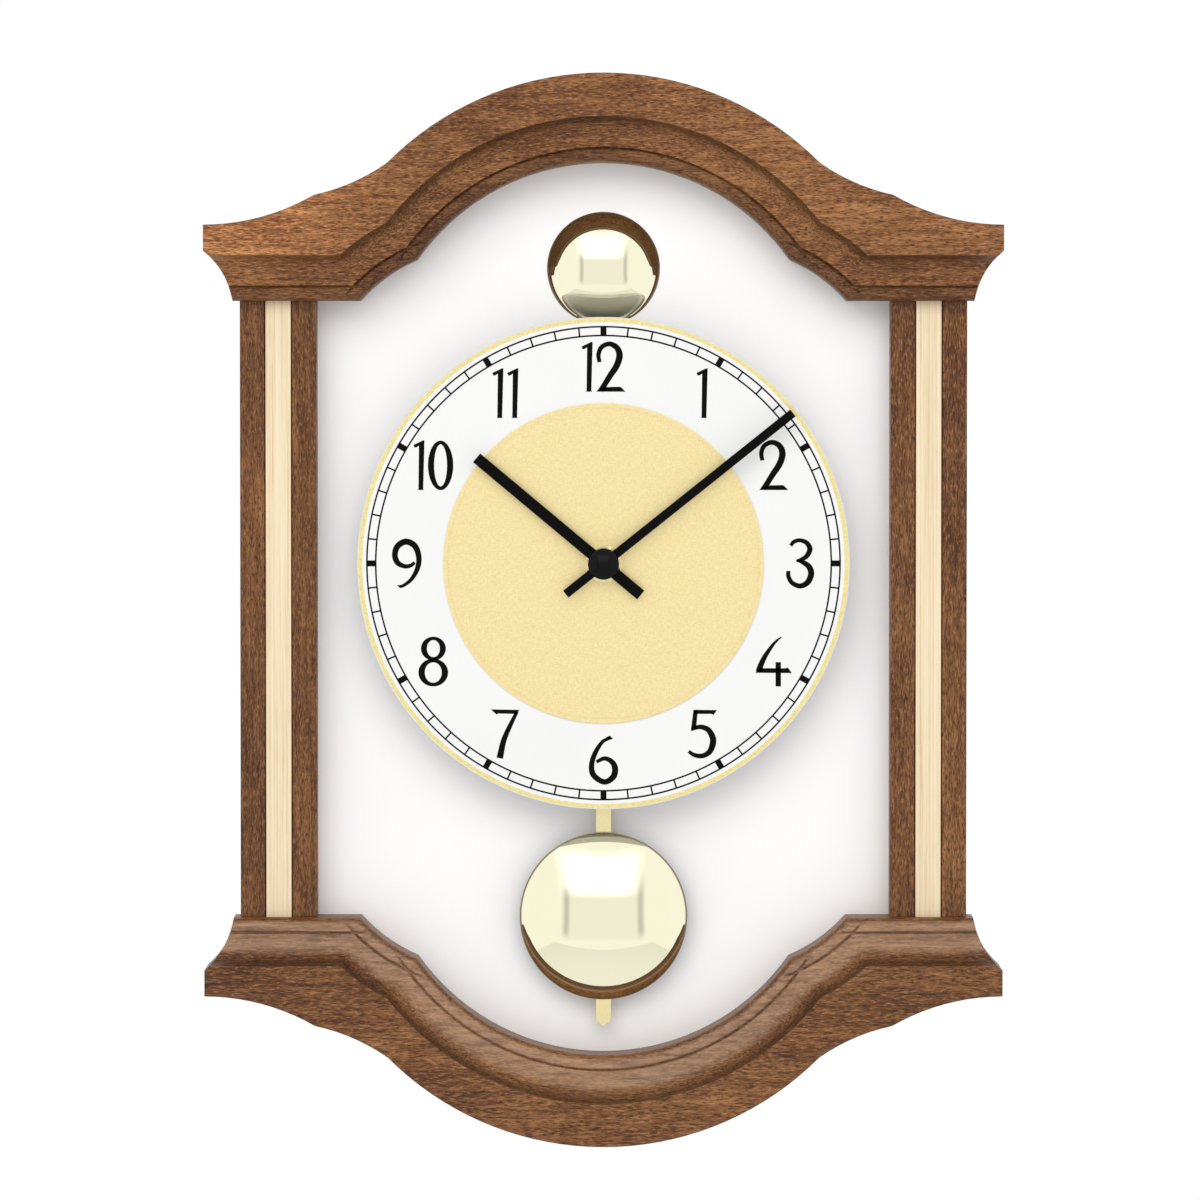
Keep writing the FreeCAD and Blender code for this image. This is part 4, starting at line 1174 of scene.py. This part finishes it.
@dataclass
class Dial:
    """Backed glass with printed ring, minute track and numerals, and the gold disc in its middle."""

    body: str = "case"
    gold_ring: tuple[float, float] = (76.55 * MM, 77.9 * MM)
    coat_radius: float = 77.9 * MM
    track: tuple[float, float] = (72.3 * MM, 75.1 * MM)
    line: float = 0.52 * MM
    hour_mark: float = 1.9 * MM
    numeral_radius: float = 62.4 * MM
    numeral_height: float = 15.8 * MM
    ink: float = 0.03 * MM

    def build(self) -> None:
        """Dresses the glass and the disc and prints on the glass."""
        self.centre = centre_of("dial_glass")
        self.face = -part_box("dial_glass")[0][1]
        dress_nodes(BackedGlass("backed_glass", self.centre, self.coat_radius), "dial_glass")
        dress_nodes(SatinGold(), "dial_center_disc")
        dress_nodes(Brass("turned_brass"), "dial_washer")
        dress_nodes(Moulded("grey_acetal", (0.23, 0.24, 0.25)), "dial_spacer")
        settle(softened("center_nut", "center_nut_eased", 0.12 * MM), Brass("bright_nut_brass", (0.90, 0.76, 0.40), 0.12),
               self.body)
        self._print_ring()
        self._print_track()
        self._print_numerals()

    def _print_ring(self) -> None:
        """The thin gold ring near the edge of the glass."""
        solids = Solids()
        solids.ring(*self.gold_ring, self.face, self.face + self.ink, self.centre, 256)
        settle(solids.piece("dial_gold_ring"), SatinGold("ring_gold", (0.860, 0.740, 0.340)), self.body)

    def _bars(self, angles: np.ndarray, width: float) -> tuple[np.ndarray, np.ndarray]:
        """Upright boxes across the track, one at each angle.

        A box corner (u, r) goes to u along the tangent and r along the radius of its angle.

        Args:
            angles: clockwise from twelve, in radians.
            width: width of each box.

        Returns:
            Points and faces.
        """
        low, high = self.track[0] - self.line / 2, self.track[1] + self.line / 2
        u = np.array([-1, 1, 1, -1, -1, 1, 1, -1]) * width / 2
        r = np.array([low, low, high, high] * 2)
        y = -(self.face + np.array([0.0] * 4 + [self.ink * 1.1] * 4))
        sin, cos = np.sin(angles)[:, None], np.cos(angles)[:, None]
        x = self.centre[0] + r * sin + u * cos
        z = self.centre[2] + r * cos - u * sin
        points = np.stack([x, np.broadcast_to(y, x.shape), z], -1).reshape(-1, 3)
        box = np.array([[0, 1, 2, 3], [4, 5, 6, 7], [0, 1, 5, 4], [1, 2, 6, 5], [2, 3, 7, 6], [3, 0, 4, 7]])
        faces = (box[None] + 8 * np.arange(len(angles))[:, None, None]).reshape(-1, 4)
        return points, faces

    def _print_track(self) -> None:
        """Two circles, a line at each minute and a broad bar at each hour."""
        solids = Solids()
        for radius in self.track:
            solids.ring(radius - self.line / 2, radius + self.line / 2, self.face, self.face + self.ink, self.centre, 256)
        minutes = np.arange(60)
        for chosen, width in ((minutes[minutes % 5 != 0], self.line), (minutes[::5], self.hour_mark)):
            points, faces = self._bars(chosen * (2 * math.pi / 60), width)
            solids.add(points, faces.tolist())
        settle(solids.piece("dial_minute_track"), Ink(), self.body)

    def _print_numerals(self) -> None:
        """The twelve upright numerals, each as one piece."""
        for hour in range(1, 13):
            turn = hour * math.pi / 6
            middle = (self.centre[0] + self.numeral_radius * math.sin(turn),
                      self.centre[2] + self.numeral_radius * math.cos(turn))
            solids = Solids()
            Numeral(str(hour), self.numeral_height).draw(solids, middle, self.face, self.face + self.ink)
            settle(solids.piece(f"dial_numeral_{hour:02d}"), Ink(), self.body)


@dataclass
class Hands:
    """Hour hand, minute hand and the domed cap over them."""

    bevel: float = 0.12 * MM

    def build(self) -> None:
        """Eases the hands' edges and smooths the cap."""
        settle(softened("hour_hand", "hour_hand_eased", self.bevel), BlackGloss(), "hour_hand")
        settle(softened("minute_hand", "minute_hand_eased", self.bevel), BlackGloss(), "minute_hand")
        self._cap()

    def _cap(self) -> None:
        """The cap is a short cylinder closed by part of a ball, turned about the hand arbor.

        The ball's radius is (r^2 + h^2) / 2h for a crown of radius r and height h.
        """
        low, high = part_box("cap_nut")
        rim, back, front = (high[0] - low[0]) / 2, -high[1], -low[1]
        wall = 0.8 * MM
        crown = front - back - wall
        ball = (rim ** 2 + crown ** 2) / (2 * crown)
        sweep = np.linspace(0.0, math.asin(rim / ball), 40)
        radii = np.concatenate([ball * np.sin(sweep), [rim, rim - 0.1 * MM, 0.0]])
        depths = np.concatenate([front - ball * (1 - np.cos(sweep)), [back + 0.1 * MM, back, back]])
        piece = turned_shell("cap_nut_polished", radii, depths, centre_of("cap_nut"), 96)
        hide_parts("cap_nut")
        settle(piece, BlackGloss("cap_gloss", 0.04, 0.12), "minute_hand")


@dataclass
class Pendulum:
    """Rod, domed bob and the yoke that carries them."""

    body: str = "pendulum"

    def build(self) -> None:
        """Polishes the bob, eases the rod and dresses the rest."""
        Dome("bob_shell", self.body, 38.0).build()
        settle(softened("pendulum_rod", "pendulum_rod_eased", 0.15 * MM), Brass("rod_brass", (0.925, 0.800, 0.450), 0.20),
               self.body)
        dress_nodes(Moulded("yoke_plastic", (0.018, 0.018, 0.020)), "pendulum_hanger", "bob_backing")
        dress_nodes(Ferrite(), "drive_magnet")
        dress_nodes(PlatedSteel("pin_steel", rough=0.18), "pivot_pin", "pivot_clip", "bob_clip")


@dataclass
class UpperHalfBall:
    """The brass half-ball above the dial, with its stud and nut."""

    body: str = "case"

    def build(self) -> None:
        """Polishes the shell and dresses its fastening."""
        Dome("upper_dome", self.body, 45.0).build()
        dress_nodes(Brass("stud_brass", (0.70, 0.56, 0.27), 0.30), "dome_stud")
        dress_nodes(PlatedSteel("nut_steel"), "dome_nut")


@dataclass
class Movement:
    """The quartz movement behind the panel: case, train, motor, electronics and battery."""

    black: Moulded = Moulded("movement_black", (0.020, 0.020, 0.022), 0.42, 1900.0)
    grey: Moulded = Moulded("cover_grey", (0.165, 0.172, 0.182), 0.46, 1600.0)
    white: Moulded = Moulded("acetal_white", (0.720, 0.715, 0.680), 0.32, 2600.0)

    def build(self) -> None:
        """Dresses every piece of the movement."""
        self._housing()
        self._train()
        self._motor()

    def _housing(self) -> None:
        """Case, cover, bridge, screws, knob and battery."""
        dress_nodes(self.black, "movement_front_case", "gear_bridge", "control_chip")
        dress_nodes(self.grey, "movement_rear_cover")
        dress_nodes(Moulded("knob_black", (0.015, 0.015, 0.016), 0.34, 2400.0), "setting_knob")
        dress_nodes(PlatedSteel("screw_steel"), "movement_screws")
        low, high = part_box("battery")
        dress_nodes(BatterySleeve("battery_sleeve", low[0], high[0]), "battery")
        dress_nodes(PlatedSteel("spring_nickel", (0.66, 0.64, 0.60), (0.58, 0.56, 0.52), 0.20),
                    "battery_contact_positive", "battery_contact_negative")

    def _train(self) -> None:
        """Wheels and the brass arbor that drives the minute hand."""
        dress_nodes(self.white, "hour_wheel", "motion_wheel", "setting_pinion", "seconds_wheel",
                    "intermediate_wheel", "rotor_pinion", "third_wheel", "center_drive_wheel")
        dress_nodes(Brass("arbor_brass", (0.80, 0.64, 0.30), 0.18), "cannon_arbor")
        dress_nodes(Ferrite("rotor_ferrite"), "rotor_magnet")

    def _motor(self) -> None:
        """Coils, iron, circuit board and crystal."""
        dress_nodes(WoundCopper("motor_copper", Grain.UPRIGHT), "motor_winding")
        dress_nodes(WoundCopper("coil_copper", Grain.DEEP), "drive_coil")
        dress_nodes(Moulded("bobbin_white", (0.60, 0.58, 0.52), 0.4, 2200.0), "motor_bobbin")
        dress_nodes(PlatedSteel("soft_iron", (0.50, 0.50, 0.51), (0.42, 0.41, 0.40), 0.38), "motor_core", "motor_stator")
        dress_nodes(SolderMask(), "circuit_board")
        dress_nodes(PlatedSteel("crystal_can", (0.72, 0.72, 0.73), (0.66, 0.66, 0.67), 0.14), "quartz_crystal")


# --- Studio ------------------------------------------------------------------
@dataclass
class Studio:
    """A pale floor far below, a bright tent of light, and the camera."""

    floor_drop: float = 1.75
    floor_size: float = 5.0
    distance: float = 2.4
    lens: float = 228.0
    eye_height: float = -0.009
    aim: tuple[float, float] = (-0.0011, -0.1034)

    def build(self) -> None:
        """Makes the floor, the world, the softboxes and the camera."""
        bpy.context.scene.view_settings.view_transform = "Standard"
        self._floor()
        self._world()
        self._softbox("key", (-0.22, -1.6, 0.95), (2.2, 1.1), 15.0)
        self._camera()

    def _floor(self) -> None:
        """One square, well below the clock."""
        half = self.floor_size / 2
        corners = np.array([[-half, -half], [half, -half], [half, half], [-half, half]])
        points = np.column_stack([corners, np.full(4, -self.floor_drop)])
        floor = mesh_piece("floor", points, [[0, 1, 2, 3]])
        dress(floor, PaleFloor())
        floor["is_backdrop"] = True

    def _world(self) -> None:
        """White to the camera; to polished metal a white room with a dim doorway; to the rest a frontal glow."""
        world = bpy.data.worlds.new("tent")
        bpy.context.scene.world = world
        graph = Graph(world)
        way = graph.node("ShaderNodeTexCoord", output="Generated")
        x = graph.node("ShaderNodeSeparateXYZ", {}, {0: way}, "X")
        y = graph.node("ShaderNodeSeparateXYZ", {}, {0: way}, "Y")
        z = graph.node("ShaderNodeSeparateXYZ", {}, {0: way}, "Z")
        facing = (0.0 - y).step(0.05, 0.35)
        inside = (1.0 - x.size().step(0.50, 0.56)) * z.step(-0.42, -0.36) * (1.0 - z.step(0.44, 0.60))
        stand = (1.0 - (x.size() - 0.53).size().step(0.0, 0.075)) * z.step(-0.40, -0.25) * (1.0 - z.step(0.20, 0.60))
        patch = facing * z.step(0.18, 0.42) * (1.0 - z.step(0.62, 0.84)) * (1.0 - (x + 0.04).size().step(0.30, 0.62))
        seen = 1.02 - facing * (inside * 0.08 + stand * 0.36) + patch * 1.1
        shed = 0.30 + 0.73 * (0.0 - y).step(0.0, 0.8)
        camera = graph.node("ShaderNodeLightPath", output="Is Camera Ray")
        glossy = graph.node("ShaderNodeLightPath", output="Is Glossy Ray")
        strength = camera + (1.0 - camera) * (glossy * seen + (1.0 - glossy) * shed)
        glow = graph.node("ShaderNodeBackground", {}, {"Color": (1.0, 1.0, 1.0), "Strength": strength})
        graph.node("ShaderNodeOutputWorld", {}, {"Surface": glow})

    def _softbox(self, name: str, place: tuple[float, float, float], size: tuple[float, float], power: float) -> None:
        """A rectangular light aimed at the clock.

        Args:
            name: its name.
            place: its middle, in metres.
            size: width and height.
            power: in watts.
        """
        data = bpy.data.lights.new(name, "AREA")
        data.shape = "RECTANGLE"
        data.size, data.size_y = size
        data.energy = power
        light = bpy.data.objects.new(name, data)
        light.location = place
        light.visible_glossy = False
        light.rotation_mode = "QUATERNION"
        light.rotation_quaternion = (Vector((0.0, 0.0, -0.11)) - Vector(place)).to_track_quat("-Z", "Y")
        bpy.context.scene.collection.objects.link(light)

    def _camera(self) -> None:
        """A long lens at the height of the opening's top, tipped down a little."""
        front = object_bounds()[0][1]
        data = bpy.data.cameras.new("camera")
        data.lens = self.lens
        data.sensor_width = 36.0
        data.clip_start, data.clip_end = 0.1, 100.0
        camera = bpy.data.objects.new("camera", data)
        camera.location = (0.0, front - self.distance, self.eye_height)
        aim = Vector((self.aim[0], front, self.aim[1]))
        camera.rotation_mode = "QUATERNION"
        camera.rotation_quaternion = (aim - camera.location).to_track_quat("-Z", "Y")
        bpy.context.scene.collection.objects.link(camera)
        bpy.context.scene.camera = camera


def main() -> None:
    """Builds the sub-assemblies in order."""
    logging.basicConfig(level=logging.INFO, format="%(name)s: %(message)s")
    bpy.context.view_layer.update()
    for assembly in (Case(), UpperHalfBall(), Dial(), Hands(), Pendulum(), Movement(), Studio()):
        LOG.info("building %s", type(assembly).__name__)
        assembly.build()


if __name__ == "__main__":
    main()
